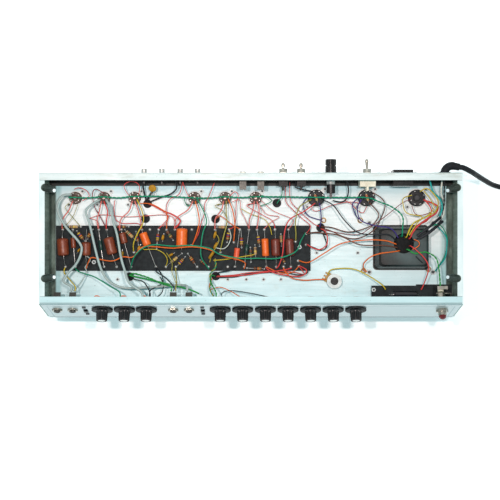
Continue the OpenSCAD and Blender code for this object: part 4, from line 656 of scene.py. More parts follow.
# A flat tie holds the coil together
TIE_HALF_W = 5
TIE_THICK = 0.5
inner, outer = COIL_IN - CORD_D / 2 - 0.8, COIL_OUT + CORD_D / 2 + 0.4
middle = (inner + outer) / 2
top = CORD_Z + COIL_PITCH + CORD_D / 2 + 0.4
loop = [(inner, 3), (inner, top - 4), (inner + 3, top), (outer - 3, top), (outer, top - 4), (outer, 3),
        (outer - 2.5, 0.16), (inner + 2.5, 0.16)]
tie_verts = []
for r, z in loop:
    for w in (-TIE_HALF_W, TIE_HALF_W):
        for out in (0, 1):
            grow = 1 + TIE_THICK * out / max(abs(r - middle), 1)
            lift = TIE_THICK * out if z > top - 5 else 0
            tie_verts.append((COIL_AT[0] + w, COIL_AT[1] - middle - (r - middle) * grow,
                              z - 0.1 * out if z < 1 else z + lift))
tie_faces = []
for i in range(len(loop)):
    a, b = 4 * i, 4 * ((i + 1) % len(loop))
    tie_faces += [(a, b, b + 1, a + 1), (a + 2, a + 3, b + 3, b + 2), (a, a + 2, b + 2, b),
                  (a + 1, b + 1, b + 3, a + 3)]
tie = Shape()
tie.add(tie_verts, tie_faces, 0)
cord_tie = tie.done("cord_tie", [tie_web], "black_rubber")
tuple(c * MM for c in cord_route[0])


# Solder points of the wiring, each listed from its end to the way out of it
def panel(x, u, w=0.0):
    """A point at the front wall, u up its slope and w out of it."""
    return Vector((x, FOOT_Y + u * math.sin(LEAN) - w * math.cos(LEAN),
                   STAND + u * math.cos(LEAN) + w * math.sin(LEAN)))


def on_panel(x, u):
    return Matrix.Translation(panel(x, u)) @ Matrix.Rotation(math.pi / 2 - LEAN, 4, "X")


def laid(points):
    """Points over the floor, moved with the rear wall."""
    return [Vector((x, y + LAY, FLOOR + z)) for x, y, z in points]


def post(x, y, *heights):
    return [Vector((x, y, z)) for z in heights]


# Tube sockets: pins, gaps round the circle, diameter, depth under the sheet, height, reach of the saddle, centre
Socket = namedtuple("Socket", "pins gaps d drop top reach centre_d")
NOVAL = Socket(9, 10, 18.4, 4, 8, 14.3, 5.6)
OCTAL = Socket(8, 8, 25, 3, 9, 19, 9.4)
LUG_IN = 2.2
LUG_UP = 5


def lug_angle(kind, k):
    return 90 + (k + 0.5) * 360 / kind.gaps


def lug(x, kind, k):
    a = math.radians(lug_angle(kind, k))
    r = kind.d / 2 - LUG_IN
    end = FLOOR + kind.top + LUG_UP + 0.5
    return post(x + r * math.cos(a), SOCKET_Y + r * math.sin(a), end, end + 5)


def n_lug(s, k):
    return lug(NOVAL_X[s], NOVAL, k)


def o_lug(s, k):
    return lug(OCTAL_X[s], OCTAL, k)


EYE_TOP = [-283, -268, -229, -217, -195, -164, -152, -139, -127, -114.5, -89, -54, -33, -17, -3, 9, 20, 36, 56]
EYE_LOW = [-279, -264, -247, -221, -202, -180, -143, -128, -113, -81, -64, -35, -24, -10, 23, 38, 60]
EYE_END = [(83, 13), (83, -4), (72, -36), (-90, -5), (-26, 0), (49, -37), (71, -28), (-176, -15), (-46, -15), (67, 1)]
EYE_ROW = 28
WIRE_ROW = 29.9


def eye(x, y):
    return post(x, y, BOARD_TOP + 1.2, BOARD_TOP + 5.2)


def top_eye(i):
    return eye(EYE_TOP[i], BOARD_Y + WIRE_ROW)


def low_eye(i):
    return eye(EYE_LOW[i], BOARD_Y - WIRE_ROW)


def end_eye(i, x, y):
    return eye(EYE_END[i][0] + x, EYE_END[i][1] + LAY + y)


def jack_end(i, x):
    return [panel(JACK_X[i] + x, JACK_ROW + 7.7, -23 - w) for w in (0.8, 8)]


def pot_end(i, k):
    return [panel(KNOB_X[i] + 6 * k, KNOB_ROW + 14.8, -1.7 - w) for w in (4.7, 17)]


def bell_end(x, y):
    return post(MAINS_AT[0] + x, MAINS_AT[1] + LAY + 6 + y, STAND + 18.5, FLOOR + 29)


def grommet_end(i, degrees):
    a = math.radians(degrees)
    x, y = GROMMETS[i]
    return post(x + 2.2 * math.cos(a), y + LAY + 2.2 * math.sin(a), STAND, FLOOR + 6)


def board_end(x, y):
    return post(x, y + LAY, BIAS_BOARD_TOP + 0.5, BIAS_BOARD_TOP + 4.5)


def bias_lug(i):
    c, s = math.cos(math.radians(BIAS_TURN)), math.sin(math.radians(BIAS_TURN))
    return post(BIAS_AT[0] + 13.5 * c - 5 * i * s, BIAS_AT[1] + LAY + 13.5 * s + 5 * i * c, FLOOR + 4.4, FLOOR + 8.4)


def wire(start, middle, end):
    return list(start) + laid(middle) + list(reversed(end))


ROW = SOCKET_Y - LAY
pilot_end = [panel(PILOT_X, JACK_ROW, -w) for w in (24.8, 31)]
cord_end = [Vector((CORD_X, REAR_Y - y - 0.5, STAND + REAR_ROW)) for y in (8.5, 14)]
earth_ends = [laid([(MAINS_AT[0] + 51.6, MAINS_AT[1] + s * 35.5, 4.6)]) for s in (1, -1)]
heater_run = [(x, ROW + 0.5 + y, 18) for x, y in (
    (-243, -1), (-221, 0.5), (-198, -1), (-175, 1), (-130, 1.2), (-85, -1), (-62, -1.2), (-39, 0.6), (-16, -0.5),
    (7, 0.6))]

# Wires by colour: solder point, points over the floor, solder point
green_pairs = {
    "green": [
        (n_lug(0, 2), [(-264, ROW, 20), *heater_run, (50, ROW + 1, 18), (98, ROW, 20), (136, ROW, 20), (173, 66, 20),
            (190, 60, 22), (208, 52, 28), (223, 38, 33), (223, 20, 34)], bell_end(-3, 11))],
    "bright_green": [
        (grommet_end(5, 80), [(-174, -47, 12), (-150, -54, 18), (-134, -61, 26)], jack_end(2, -3.4)),
        (grommet_end(6, 180), [(-59, -50, 14), (-60, -58, 26)], pot_end(3, -1)),
        (bell_end(6, -9), [(242, -17, 33), (258, -15, 31), (273, -23, 27), (278, -38, 26)], pilot_end)],
}
green_wires = {
    "green": [
        (low_eye(1), [(-257, -44, 16), (-246, -47, 24), (-231, -52, 26), (-207, -65, 38)], pot_end(1, -1)),
        (n_lug(3, 6), [(-70, 45, 20), (-66, 30, 22), (-71, 16, 21), (-74, -2, 21), (-74, -22, 21)], low_eye(10)),
        (end_eye(0, -2, 0), [ (74, 2, 24), (66, -14, 29), (40, -24, 29), (10, -24, 29), (-16, -24, 30),
            (-46, -18, 31), (-62, -9, 31), (-90, -5, 30), (-116, -6, 30), (-142, -4, 30), (-160, -9, 30),
            (-172, -21, 30), (-178, -34, 20)], low_eye(5))],
    "teal": [
        (earth_ends[0], [(283, 20, 10), (290, 8, 20), (291, -5, 22), (289, -24, 18), (282, -36, 9)], earth_ends[1])],
}
red_wires = {
    "red": [
        (end_eye(1, 2, 0), [(93, -9, 16), (102, -11, 20), (112, -5, 20), (114, 6, 18), (111, 16, 13)],
            grommet_end(4, -70)),
        (grommet_end(6, -30), [(-44, -51, 11), (-31, -51, 12), (-7, -49, 11), (14, -46, 10), (40, -43, 12),
            (52, -41, 13)], low_eye(16)),
        (o_lug(0, 3), [(78, 45, 22), (58, 34, 24), (50, 16, 25), (47, -16, 24), (42, -34, 16)], low_eye(15)),
        (low_eye(14), [(30, -44, 16), (44, -48, 20), (66, -51, 19), (79, -49, 16), (83, -42, 13)], end_eye(2, 2, 0)),
        (bell_end(10, -4), [(243, -12, 36), (255, -24, 36), (262, -38, 32), (258, -58, 24)], board_end(254, -70)),
        (bell_end(9, 8), [(245, 24, 33), (261, 32, 26), (268, 48, 21)], o_lug(2, 5)),
        (n_lug(1, 5), [(-214, 46, 16), (-216, 32, 14)], top_eye(3))],
    "pink": [
        (n_lug(0, 4), [(-271, 48, 18), (-281, 34, 16)], top_eye(0)),
        (n_lug(1, 4), [(-226, 46, 18), (-230, 32, 14)], top_eye(2)),
        (n_lug(2, 4), [(-182, 46, 18), (-194, 34, 16)], eye(EYE_TOP[4] - 2, BOARD_Y + 28)),
        (n_lug(2, 5), [(-168, 46, 17), (-165, 32, 14)], top_eye(5)),
        (n_lug(3, 4), [(-94, 48, 18), (-111, 36, 16)], top_eye(9)),
        (n_lug(4, 4), [(-44, 48, 18), (-53, 35, 15)], top_eye(11)),
        (n_lug(5, 4), [(3, 48, 18), (-2, 34, 15)], top_eye(14)),
        (n_lug(5, 5), [(12, 48, 18), (11, 34, 15)], top_eye(15))],
}
orange_wires = {
    "orange": [
        (low_eye(2), [ (-242, -30, 20), (-236, -23, 25), (-222, -26, 25), (-205, -28, 25), (-190, -22, 25),
            (-175, -22, 25), (-162, -8, 25), (-142, -7, 26), (-116, -9, 26), (-87, -7, 26), (-62, -11, 26),
            (-40, -21, 25), (-22, -25, 24), (-9, -31, 16)], low_eye(13)),
        (n_lug(3, 5), [(-79, 46, 20), (-77, 30, 22), (-81, 12, 20)], end_eye(3, 2, 0)),
        (n_lug(4, 6), [(-27, 46, 20), (-24, 26, 22), (-25, 10, 16)], end_eye(4, 0, 2)),
        (end_eye(5, 0, -2), [(52, -45, 10), (62, -54, 10), (80, -57, 10), (98, -56, 10)], bias_lug(1)),
        (end_eye(6, 2, 0), [(86, -30, 20), (108, -17, 24), (134, -2, 26), (170, 3, 32), (198, 2, 33)],
            bell_end(-12, -1)),
        (bell_end(-7, -11), [(205, -15, 33), (190, -17, 32), (177, -22, 28), (168, -32, 18)], laid([(174.4, -44, 4.8),
            (170, -42, 8)]))],
    "yellow": [
        (n_lug(2, 6), [(-162, 46, 20), (-160, 30, 22), (-169, 12, 22), (-175, -2, 18)], end_eye(7, 0, 2)),
        (low_eye(0), [(-279, -46, 14), (-268, -57, 24)], jack_end(1, 3)),
        (bias_lug(-1), [(121, -41, 12), (142, -39, 14), (159, -42, 16), (178, -52, 19), (194, -63, 22)],
            board_end(200, -70)),
        (bell_end(4, 10), [(238, 27, 38), (251, 34, 35), (272, 45, 29), (277, 62, 24), (263, 79, 22)], o_lug(2, 7))],
    "olive": [
        (low_eye(8), [(-112, -47, 14), (-110, -59, 26)], jack_end(2, 3.4)),
        (n_lug(4, 5), [(-37, 44, 18), (-36, 28, 20), (-42, 4, 20)], end_eye(8, 0, 2)),
        (o_lug(0, 2), [(72, 52, 31), (66, 32, 25), (67, 12, 16)], end_eye(9, 0, 2))],
}
dark_pairs = {
    "black": [
        (bell_end(12, 2), [(250, 8, 34), (266, 18, 31), (281, 32, 25), (286, 52, 23), (286, 72, 27)], cord_end)],
}
dark_wires = {
    "black": [
        (o_lug(0, 5), [(122, 54, 26), (138, 32, 31), (157, 14, 36), (180, 11, 38), (202, 11, 37)], bell_end(-12, 4)),
        (grommet_end(5, -40), [(-172, -56, 14), (-158, -59, 34)], pot_end(2, 1)),
        (low_eye(6), [(-141, -45, 14), (-128, -52, 25)], jack_end(2, 0.2)),
        (grommet_end(6, 70), [(-47, -45, 13), (-34, -43, 13)], low_eye(12))],
    "brown": [
        (end_eye(0, 2, 0), [(96, 14, 14), (112, 13, 22), (132, 9, 30), (160, -4, 36), (195, -5, 37)],
            bell_end(-11, -6)),
        (o_lug(1, 4), [(190, 43, 17), (187, 32, 18), (174, 22, 20), (146, 15, 17), (120, 22, 14)], grommet_end(4, 30))],
    "purple": [
        (o_lug(0, 4), [(104, 46, 17), (105, 33, 13)], grommet_end(4, 140)),
        (o_lug(1, 2), [(158, 50, 21), (163, 32, 26), (184, 24, 31), (206, 20, 33)], bell_end(-9, 9))],
}
shielded = {
    "grey": [
        (n_lug(0, 1), [(-280, 68, 25), (-287, 52, 28), (-276, 26, 30), (-254, 0, 30), (-250, -13, 31),
            (-257, -31, 31), (-271, -47, 31), (-276, -58, 33)], jack_end(1, -3)),
        (n_lug(1, 3), [(-236, 56, 23), (-244, 45, 28), (-238, 25, 30), (-226, -24, 33), (-217, -48, 33),
            (-206, -61, 28), (-186, -68, 24), (-148, -67, 24), (-112, -64, 22), (-99, -64, 28)], jack_end(3, -3)),
        (n_lug(1, 6), [(-208, 50, 24), (-204, 30, 26), (-198, 10, 28), (-192, -22, 31), (-186, -42, 33),
            (-178, -60, 42)], pot_end(2, -1))],
}
WIRE_D = 1.8
STRAND_D = 1.3


def resample(path, step):
    """The same path with points an even distance apart."""
    out = [path[0]]
    for a, b in zip(path, path[1:]):
        n = max(1, round((b - a).length / step))
        out += [a + (b - a) * k / n for k in range(1, n + 1)]
    return out


def twisted(path, lay_length=13, offset=0.62):
    """The two strands of a pair that twist round a path."""
    path = resample(path, 1.6)
    strands = [[], []]
    turn = 0.0
    for i, (p, way, side) in enumerate(framed(path)):
        if i:
            turn += 2 * math.pi * (p - path[i - 1]).length / lay_length
        out = math.cos(turn) * side + math.sin(turn) * way.cross(side)
        strands[0].append(p + offset * out)
        strands[1].append(p - offset * out)
    return strands


def lay_wires(node, slot, singles, pairs=None, d=WIRE_D):
    """The wires of one CAD node, one piece for each colour and size; the first stands in for the node."""
    pieces = [(colour, d, [smooth_path(wire(*route), 6) for route in routes]) for colour, routes in singles.items()]
    for colour, routes in (pairs or {}).items():
        strands = [twisted(smooth_path(wire(*route), 8)) for route in routes]
        pieces.append((colour, STRAND_D, sum(strands, [])))
    for n, (colour, size, paths) in enumerate(pieces):
        cable(f"{node}.{colour}.{size:.1f}", paths, size, WIRE[colour], slot, *([] if n else [node]))


lay_wires("wires_green", "green_wire", green_wires, green_pairs)
lay_wires("wires_red", "red_wire", red_wires)
lay_wires("wires_orange", "orange_wire", orange_wires)
lay_wires("wires_dark", "dark_wire", dark_wires, dark_pairs)
lay_wires("shielded_cables", "grey_cable", shielded, d=2 * WIRE_D)

# Finer hook-up wires: colour, diameter, and points over the floor
hookup = [
    ("red", 1.2, [(-264, 79, 14), (-258, 81, 16), (-251, 80, 16), (-244, 75, 16), (-242, 68, 15), (-252, 62, 13)]),
    ("red", 1.2, [(-203, 63, 15), (-205, 51, 12), (-204, 39, 10), (-201, 32, 9), (-191, 28, 9), (-170, 28, 9),
        (-164, 21, 6)]),
    ("red", 1.1, [(-183, 70, 14), (-189, 83, 20), (-182, 89, 24), (-172, 89, 24), (-166, 83, 20), (-168, 70, 14)]),
    ("red", 1.2, [(-102, 90, 14), (-107, 72, 16), (-120, 65, 14), (-126, 56, 12), (-127, 42, 10), (-124, 36, 10),
        (-139, 20, 6)]),
    ("red", 1.1, [(-102, 90, 15), (-97, 76, 16), (-92, 67, 14)]),
    ("red", 1.2, [(-55, 88, 14), (-63, 68, 16), (-69, 57, 14), (-70, 42, 12), (-75, 27, 14), (-79, 11, 18),
        (-88, -4, 7)]),
    ("red", 1.2, [(-33, 68, 14), (-24, 75, 18), (-19, 69, 18), (-22, 57, 14), (-24, 26, 10), (-33, 20, 6)]),
    ("red", 1.2, [(52, 90, 12), (52, 62, 12), (61, 50, 10), (76, 36, 9), (89, 24, 10), (83, 13, 7)]),
    ("red", 1.2, [(58, 90, 13), (59, 63, 13), (69, 50, 11), (92, 29, 8), (103, 24, 4)]),
    ("red", 1.1, [(91, 54, 16), (92, 48, 13), (101, 47, 12), (121, 55, 16), (146, 60, 14), (163, 58, 15)]),
    ("red", 1.3, [(-51, -51, 9), (-24, -49, 9), (-6, -46, 8), (19, -44, 8), (47, -43, 8), (69, -46, 9), (80, -48, 9),
        (72, -36, 7)]),
    ("red", 1.1, [(139, 63, 14), (150, 57, 13), (159, 48, 11), (168, 44, 11), (173, 53, 14)]),
    ("red", 1.2, [(3, 58, 14), (-6, 54, 13), (15, 42, 10), (32, 32, 9), (36, 21, 6)]),
    ("dark_red", 1.3, [(-220, 73, 15), (-231, 79, 17), (-236, 74, 17), (-236, 63, 15), (-233, 50, 12), (-226, 38, 10),
        (-217, 20, 6)]),
    ("dark_red", 1.1, [(238, 64, 15), (225, 58, 16), (210, 46, 18), (182, 25, 20), (158, 11, 16), (112, 18, 4)]),
    ("dark_red", 1.2, [(240, 54, 16), (244, 42, 22), (254, 40, 24), (269, 45, 20)]),
    ("pink", 1.1, [(-242, 36, 8), (-224, 41, 9), (-200, 39, 9), (-182, 38, 8), (-151, 40, 8), (-134, 41, 9),
        (-120, 39, 9), (-115, 33, 9), (-114, 20, 6)]),
    ("pink", 1.1, [(-242, 36, 8), (-230, 31, 9), (-229, 20, 6)]),
    ("pink", 1.1, [(-28, 60, 15), (-17, 63, 15), (-15, 47, 11), (-9, 35, 9), (-3, 20, 6)]),
    ("pink", 1.1, [(11, 58, 14), (23, 42, 11), (42, 38, 9), (30, 30, 9), (20, 20, 6)]),
    ("pink", 1.1, [(15, 62, 15), (33, 47, 12), (61, 35, 10), (62, 27, 9), (56, 20, 6)]),
    ("pink", 1.1, [(-132, 24, 9), (-126, 30, 9), (-125, 40, 9), (-132, 45, 10)]),
    ("orange", 1.4, [(-166, 58, 14), (-149, 57, 14), (-132, 48, 13), (-126, 42, 12), (-126, 30, 10), (-127, 20, 6)]),
    ("orange", 1.4, [(-53, 35, 3), (-50, 37, 8), (-45, 39, 10), (-28, 26, 9), (-17, 20, 6)]),
    ("orange", 1.4, [(23, -37, 7), (44, -46, 9), (62, -45, 9), (72, -36, 7)]),
    ("orange", 1.3, [(-58, -54, 12), (-62, -64, 18), (-60, -70, 20), (-46, -67, 20), (-30, -73, 24), (-16, -81, 36)]),
    ("orange", 1.6, [(-230, -83, 44), (-227, -79, 49), (-222, -79, 49), (-218, -83, 44)]),
    ("orange", 1.6, [(-192, -83, 44), (-189, -79, 49), (-183, -79, 49), (-179, -83, 44)]),
    ("orange", 1.6, [(-161, -83, 44), (-158, -79, 49), (-154, -79, 49), (-151, -83, 44)]),
    ("orange", 1.4, [(238, -11, 33), (246, -6, 36), (247, 0, 35), (240, 4, 33)]),
    ("yellow", 1.1, [(-15, 50, 12), (0, 42, 10), (19, 35, 10), (28, 23, 10), (31, 11, 14)]),
    ("yellow", 1.5, [(240, 70, 16), (228, 66, 18), (226, 58, 20), (231, 43, 24), (253, 37, 28), (237, 25, 32),
        (230, 10, 33)]),
    ("yellow", 1.5, [(258, 76, 16), (267, 64, 18), (272, 51, 22), (262, 40, 27), (247, 30, 31), (233, 10, 33)]),
    ("yellow", 1.2, [(-163, -8, 12), (-159, -11, 17), (-142, -11, 17), (-130, -17, 16), (-125, -27, 13),
        (-128, -36, 6)]),
    ("olive", 1.1, [(-42, 58, 14), (-54, 54, 14), (-43, 47, 12), (-36, 35, 12), (-37, 23, 12), (-46, -13, 7)]),
    ("olive", 0.9, [(-272, 58, 14), (-278, 52, 13), (-273, 44, 12), (-264, 33, 10), (-256, 23, 6)]),
    ("olive", 0.9, [(-259, 56, 14), (-265, 41, 12), (-275, 28, 9), (-283, 20, 6)]),
    ("olive", 1.2, [(-126, -16, 17), (-118, -30, 15), (-118, -45, 14), (-110, -64, 22)]),
    ("olive", 1.4, [(-52, 12, 12), (-48, 2, 14), (-58, -18, 14), (-62, -30, 10)]),
    ("yellow", 1.4, [(-56, -27, 14), (-40, -26, 12), (-8, -21, 10), (8, -18, 6)]),
    ("white", 1.3, [(-33, 20, 6), (-30, 8, 14), (-34, -4, 16), (-42, -10, 15), (-54, -8, 13)]),
    ("purple", 1.7, [(86, 68, 16), (78, 57, 14), (84, 41, 11), (98, 35, 6), (107, 33, 1.6)]),
    ("purple", 1.7, [(161, 66, 16), (152, 57, 14), (156, 42, 11), (163, 34, 1.6)]),
    ("black", 1.7, [(83, 13, 7), (89, 14, 9), (102, 15, 10), (113, 11, 6), (108, 18, 3)]),
    ("black", 1.7, [(83, -4, 7), (94, -8, 12), (106, -12, 10), (114, -5, 6), (108, 14, 4)]),
    ("black", 1.7, [(-51, -53, 9), (-24, -52, 8), (-6, -48, 7), (19, -46, 7), (47, -45, 7), (69, -49, 8),
        (83, -47, 10), (87, -38, 8)]),
    ("black", 1.3, [(-44, -79, 34), (-41, -74, 26), (-30, -72, 24), (-18, -73, 24), (7, -77, 30), (31, -82, 40)]),
    ("black", 1.4, [(243, -21, 33), (249, -27, 32), (258, -34, 22), (267, -39, 2)]),
    ("black", 1.7, [(-143, -38, 6), (-134, -48, 14), (-131, -60, 20), (-140, -66, 24), (-149, -72, 28),
        (-149, -82, 40)]),
    ("black", 1.7, [(-139, -82, 40), (-132, -75, 30), (-130, -63, 22), (-136, -52, 15)]),
    ("black", 2.6, [(-161, 91, 26), (-160, 77, 16), (-157, 60, 4)]),
    ("black", 3.0, [(-146, 78, 12), (-153, 68, 10), (-156, 60, 4)]),
    ("black", 2.4, [(-111, 92, 26), (-111, 80, 18), (-120, 72, 14), (-132, 68, 12), (-148, 62, 8), (-155, 58, 4)]),
    ("black", 2.0, [(68, 92, 24), (66, 82, 18), (78, 78, 20), (90, 76, 18)]),
    ("black", 2.2, [(142, 92, 26), (145, 76, 20), (142, 64, 16), (134, 60, 14), (122, 62, 16)]),
    ("brown", 1.7, [(182, 74, 15), (195, 65, 17), (200, 54, 16), (195, 39, 20), (184, 21, 32), (171, 10, 24),
        (155, 5, 16), (139, 8, 10), (120, 17, 6), (107, 21, 3)]),
    ("green", 1.5, [(46, 88, 14), (46, 70, 16), (40, 60, 12), (39, 58, 2)]),
    ("green", 1.4, [(-100, 68, 18), (-98, 59, 16), (-94, 54, 13), (-90, 57, 14)]),
    ("green", 1.4, [(15, 70, 16), (26, 66, 17), (30, 60, 18), (14, 54, 15)]),
    ("green", 1.6, [(250, 15, 33), (267, 24, 32), (281, 24, 28), (292, 5, 20), (290, -19, 14), (283, -34, 8),
        (277, -44, 3)]),
    ("bright_green", 2.4, [(-181, -50, 9), (-147, -57, 18), (-116, -64, 22), (-92, -70, 26), (-77, -76, 32)]),
    ("red", 2.4, [(-153, 57, 6), (-149, 56, 9), (-132, 47, 10), (-117, 41, 10), (-106, 32, 10), (-114, 21, 6)]),
    ("red", 2.4, [(258, 63, 15), (277, 54, 20), (274, 43, 26), (261, 35, 31), (244, 22, 34), (236, 10, 32)]),
    ("teal", 2.6, [(266, 92, 20), (271, 75, 20), (281, 64, 20), (284, 51, 22), (279, 38, 27)]),
    ("white", 2.6, [(284, 92, 22), (283, 73, 20), (287, 60, 20), (286, 43, 24), (282, 35, 27)]),
    ("grey", 1.6, [(-247, -20, 10), (-240, -27, 14), (-248, -37, 13), (-246, -46, 13), (-255, -64, 24),
        (-262, -72, 32)]),
    ("black", 4.0, [(281, 37, 27), (270, 28, 31), (261, 21, 34), (245, 9, 33)]),
    ("black", 4.0, [(284, 31, 26), (273, 22, 31), (264, 15, 34), (248, 5, 33)]),
]
SLOT_OF = {
    "red_wire": ("red", "dark_red", "pink"), "orange_wire": ("orange", "yellow", "olive"),
    "dark_wire": ("black", "purple", "brown"), "green_wire": ("green", "bright_green", "teal"),
    "grey_cable": ("grey", "white")}
for kind in dict.fromkeys(row[:2] for row in hookup):
    colour, d = kind
    routes = [smooth_path(laid(row[2]), 6) for row in hookup if row[:2] == kind]
    slot = next(slot for slot, colours in SLOT_OF.items() if colour in colours)
    cable(f"hookup.{colour}.{d}", routes, d, WIRE[colour], slot)
loom = laid([(-54, -25, 7), (-53, -37, 10), (-61, -48, 12), (-60, -60, 16), (-61, -70, 22), (-54, -81, 36)])
for strand, colour in zip(twisted(smooth_path(loom, 8), 9, 0.8), ("green", "olive")):
    cable(f"hookup.loom.{colour}", [strand], 1.5, WIRE[colour], "green_wire")

# Parts on the component board: their two solder points, the body's length, diameter and share of the way
Axial = namedtuple("Axial", "x1 y1 x2 y2 length d share")
LEAD_SLOT = 2


def lie(e, base):
    """How an axial part lies: its two solder points, the way between them and the middle of its body."""
    a, b = Vector((e.x1, e.y1 + LAY, 0)), Vector((e.x2, e.y2 + LAY, 0))
    return a, b, (b - a).normalized(), a + e.share * (b - a) + UP * (base + 0.25 + e.d / 2)


def body_frame(e, base=BOARD_TOP):
    """A matrix at the first end of a part's body with Z along it."""
    _, _, along, centre = lie(e, base)
    return frame_on(centre - along * e.length / 2, along, UP)


def leads(shape, e, base=BOARD_TOP, foot_z=BOARD_TOP + 1.7):
    """The two leads of an axial part, bent down to their solder points."""
    a, b, along, centre = lie(e, base)
    for point, way in ((a, -along), (b, along)):
        end = centre + way * (e.length / 2 - 0.6)
        reach = (point - Vector((end[0], end[1], 0))).length
        mid = end + way * min(2.4, 0.4 * reach)
        foot = Vector((point[0], point[1], foot_z))
        low = foot - way * min(1.5, 0.2 * reach) + UP * 0.5
        shape.tube(smooth_path([end, mid, (mid + low) / 2 + UP * 0.4, low, foot], 3), 0.8, LEAD_SLOT)


def rounded_body(length, d, dome, dent, rows=5):
    """Profile of a moulded body with domed ends."""
    r = d / 2
    up = [(r * math.sin(t) if t < math.pi / 2 else r, dome * (1 - math.cos(t)))
          for t in (math.pi / 2 * k / rows for k in range(1, rows + 1))]
    sides = [(r - dent * math.sin(math.pi * k / 6), dome + (length - 2 * dome) * k / 6) for k in range(1, 6)]
    down = [(q, length - z) for q, z in reversed(up)]
    return [(r * 0.32, 0.0)] + up + sides + down + [(r * 0.32, length)]


moulded = [
    (-283, 19, -279, -37, 27, 17, 0.47), (-268, 19, -264, -37, 16, 7.5, 0.36), (-247, 19, -247, -37, 21, 15, 0.52),
    (-217, 19, -202, -37, 27, 15.5, 0.44), (-195, 19, -180, -37, 17, 10.5, 0.23), (36, 19, 38, -37, 27, 13.5, 0.48),
    (56, 19, 60, -37, 27, 13.5, 0.48)]
film = [
    (-164, 19, -143, -37, 21, 12, 0.26), (-103, 23, -104, -12, 30, 16.5, 0.49), (20, 19, 23, -37, 27, 10.5, 0.48),
    (-17, 19, -24, -37, 19, 8.5, 0.66)]
discs = [
    (-132, 7, 9, 4, 80), (-54, 11, 12, 4, 75), (-53, -5, 12, 4, 60), (-59, -19, 15, 4.5, 55), (-120, -19, 8, 3.5, 30),
    (-258, -12, 7, 3, 50), (-193, -17, 8, 4, 90), (-168, -9, 8, 4, 70)]
resistors = [Axial(*row) for row in (
    (-277, 23.2, -256, 23.2, 13, 4.4, 0.5), (-262, 17, -250, 2, 13, 5, 0.5), (-238, 19, -246, 5, 11.5, 5, 0.5),
    (-205, 23.2, -184, 23.2, 13, 4.4, 0.5), (-190, 19, -173, 3, 13, 5, 0.45), (-173, 16, -169, -4, 11, 4, 0.5),
    (-139, 18, -142, -10, 12, 4.6, 0.4), (-127, 18, -117, 3, 12, 5, 0.45), (-127, -36, -104, -17, 12, 4.6, 0.5),
    (-111, -36, -99, -22, 11, 4.6, 0.5), (-82, -36, -95, -17, 12, 4.6, 0.5), (-65, -36, -76, -27, 9, 4.4, 0.6),
    (-51, 22.6, -37, 22.6, 9, 4.4, 0.5), (-33, 18, -36, 0, 12, 5, 0.5), (-15, 18, -14, -8, 12, 5, 0.65),
    (-1, -8, 0, -30, 11, 4.4, 0.4), (6, -4, 7, -24, 11, 4.4, 0.45), (9, 18, 13, -6, 12, 4.6, 0.6),
    (-6, -39, 20, -40, 12, 4.4, 0.62), (46, -22, 51, -32, 8, 4, 0.5), (45, 12, 46, -6, 10, 4.2, 0.4))]
electrolytics = [Axial(-229, 19, -221, -37, 15, 6, 0.42), Axial(-3, 19, -10, -37, 14, 6, 0.52)]
bias_electrolytic = Axial(206, -78, 250, -78, 36, 11, 0.5)

for name, node, slot, rows, dome, dent, second, finishes in (
        ("moulded_caps", "moulded_capacitors", "brown_moulding", moulded, 0.16, 0.12, (5, 6), [board_brown, cap_dark]),
        ("film_caps", "film_capacitors", "orange_film", film, 0.12, 0.1, (3,), [film_orange, film_salmon])):
    caps = Shape()
    for n, row in enumerate(rows):
        e = Axial(*row)
        caps.lathe(rounded_body(e.length, e.d, e.d * dome, dent), 1 if n in second else 0, body_frame(e), 40)
        leads(caps, e)
    caps.done(name, finishes + [tinned], slot, node)

caps = Shape()
for x, y, d, t, degrees in discs:
    centre = Vector((x, y + LAY, BOARD_TOP + 0.25 + d / 2))
    way = Vector((math.sin(math.radians(degrees)), -math.cos(math.radians(degrees)), 0))
    along = Vector((way[1], -way[0], 0))
    r = d / 2
    profile = [(r * q, t * z) for q, z in (
        (0.3, 0), (0.7, 0.06), (0.92, 0.26), (1, 0.5), (0.92, 0.74), (0.7, 0.94), (0.3, 1))]
    caps.lathe(profile, 0, frame_on(centre - way * t / 2, way), 32)
    for s in (-1, 1):
        start = centre + along * s * r * 0.45 - UP * r * 0.7
        caps.tube(smooth_path([start, start + along * s * 1.5 - UP * r * 0.12,
                               start + along * s * 4.5 + UP * (-r * 0.3 + 0.5)], 3), 0.7, 1)
caps.done("disc_caps", [disc_mustard, tinned], "mustard_disc", "disc_capacitors")

caps = Shape()
for e in electrolytics:
    r = e.d / 2
    caps.lathe([(r * 0.5, 0), (r * 0.9, 0), (r, 0.5), (r, 1.6), (r * 0.9, 2.1), (r, 2.6), (r, e.length - 0.6),
                (r * 0.9, e.length), (r * 0.4, e.length)], 0, body_frame(e), 32)
    leads(caps, e)
e = bias_electrolytic
r = e.d / 2
caps.lathe([(r * 0.5, 0), (r * 0.92, 0), (r, 0.8), (r, 3), (r * 0.88, 3.8), (r, 4.6), (r, e.length - 1),
            (r * 0.94, e.length), (r * 0.3, e.length)], [2, 1, 1, 1, 1, 1, 1, 2], body_frame(e, BIAS_BOARD_TOP), 36)
leads(caps, e, BIAS_BOARD_TOP, BIAS_BOARD_TOP + 1.05)
for i in range(-2, 3):
    caps.lathe([(9, 0), (10.6, 0), (11, 0.8), (11, 56), (10.2, 57), (11, 58), (11, 59.4), (10.4, 60), (4, 60)], 3,
               moved(-118 + 27 * i, LAY - 58, STAND - 13.25) @ spun(-90, "X"), 36)
caps.done("electrolytics", [sleeve_green, can_black, tinned, shield_metal], "dark_can", "electrolytic_capacitors")

BANDS = list(BAND)
CODES = ["brown black yellow gold", "yellow violet orange gold", "brown black orange gold", "red red black gold",
         "brown green red gold", "yellow violet red gold", "red violet yellow gold", "brown black green gold"]


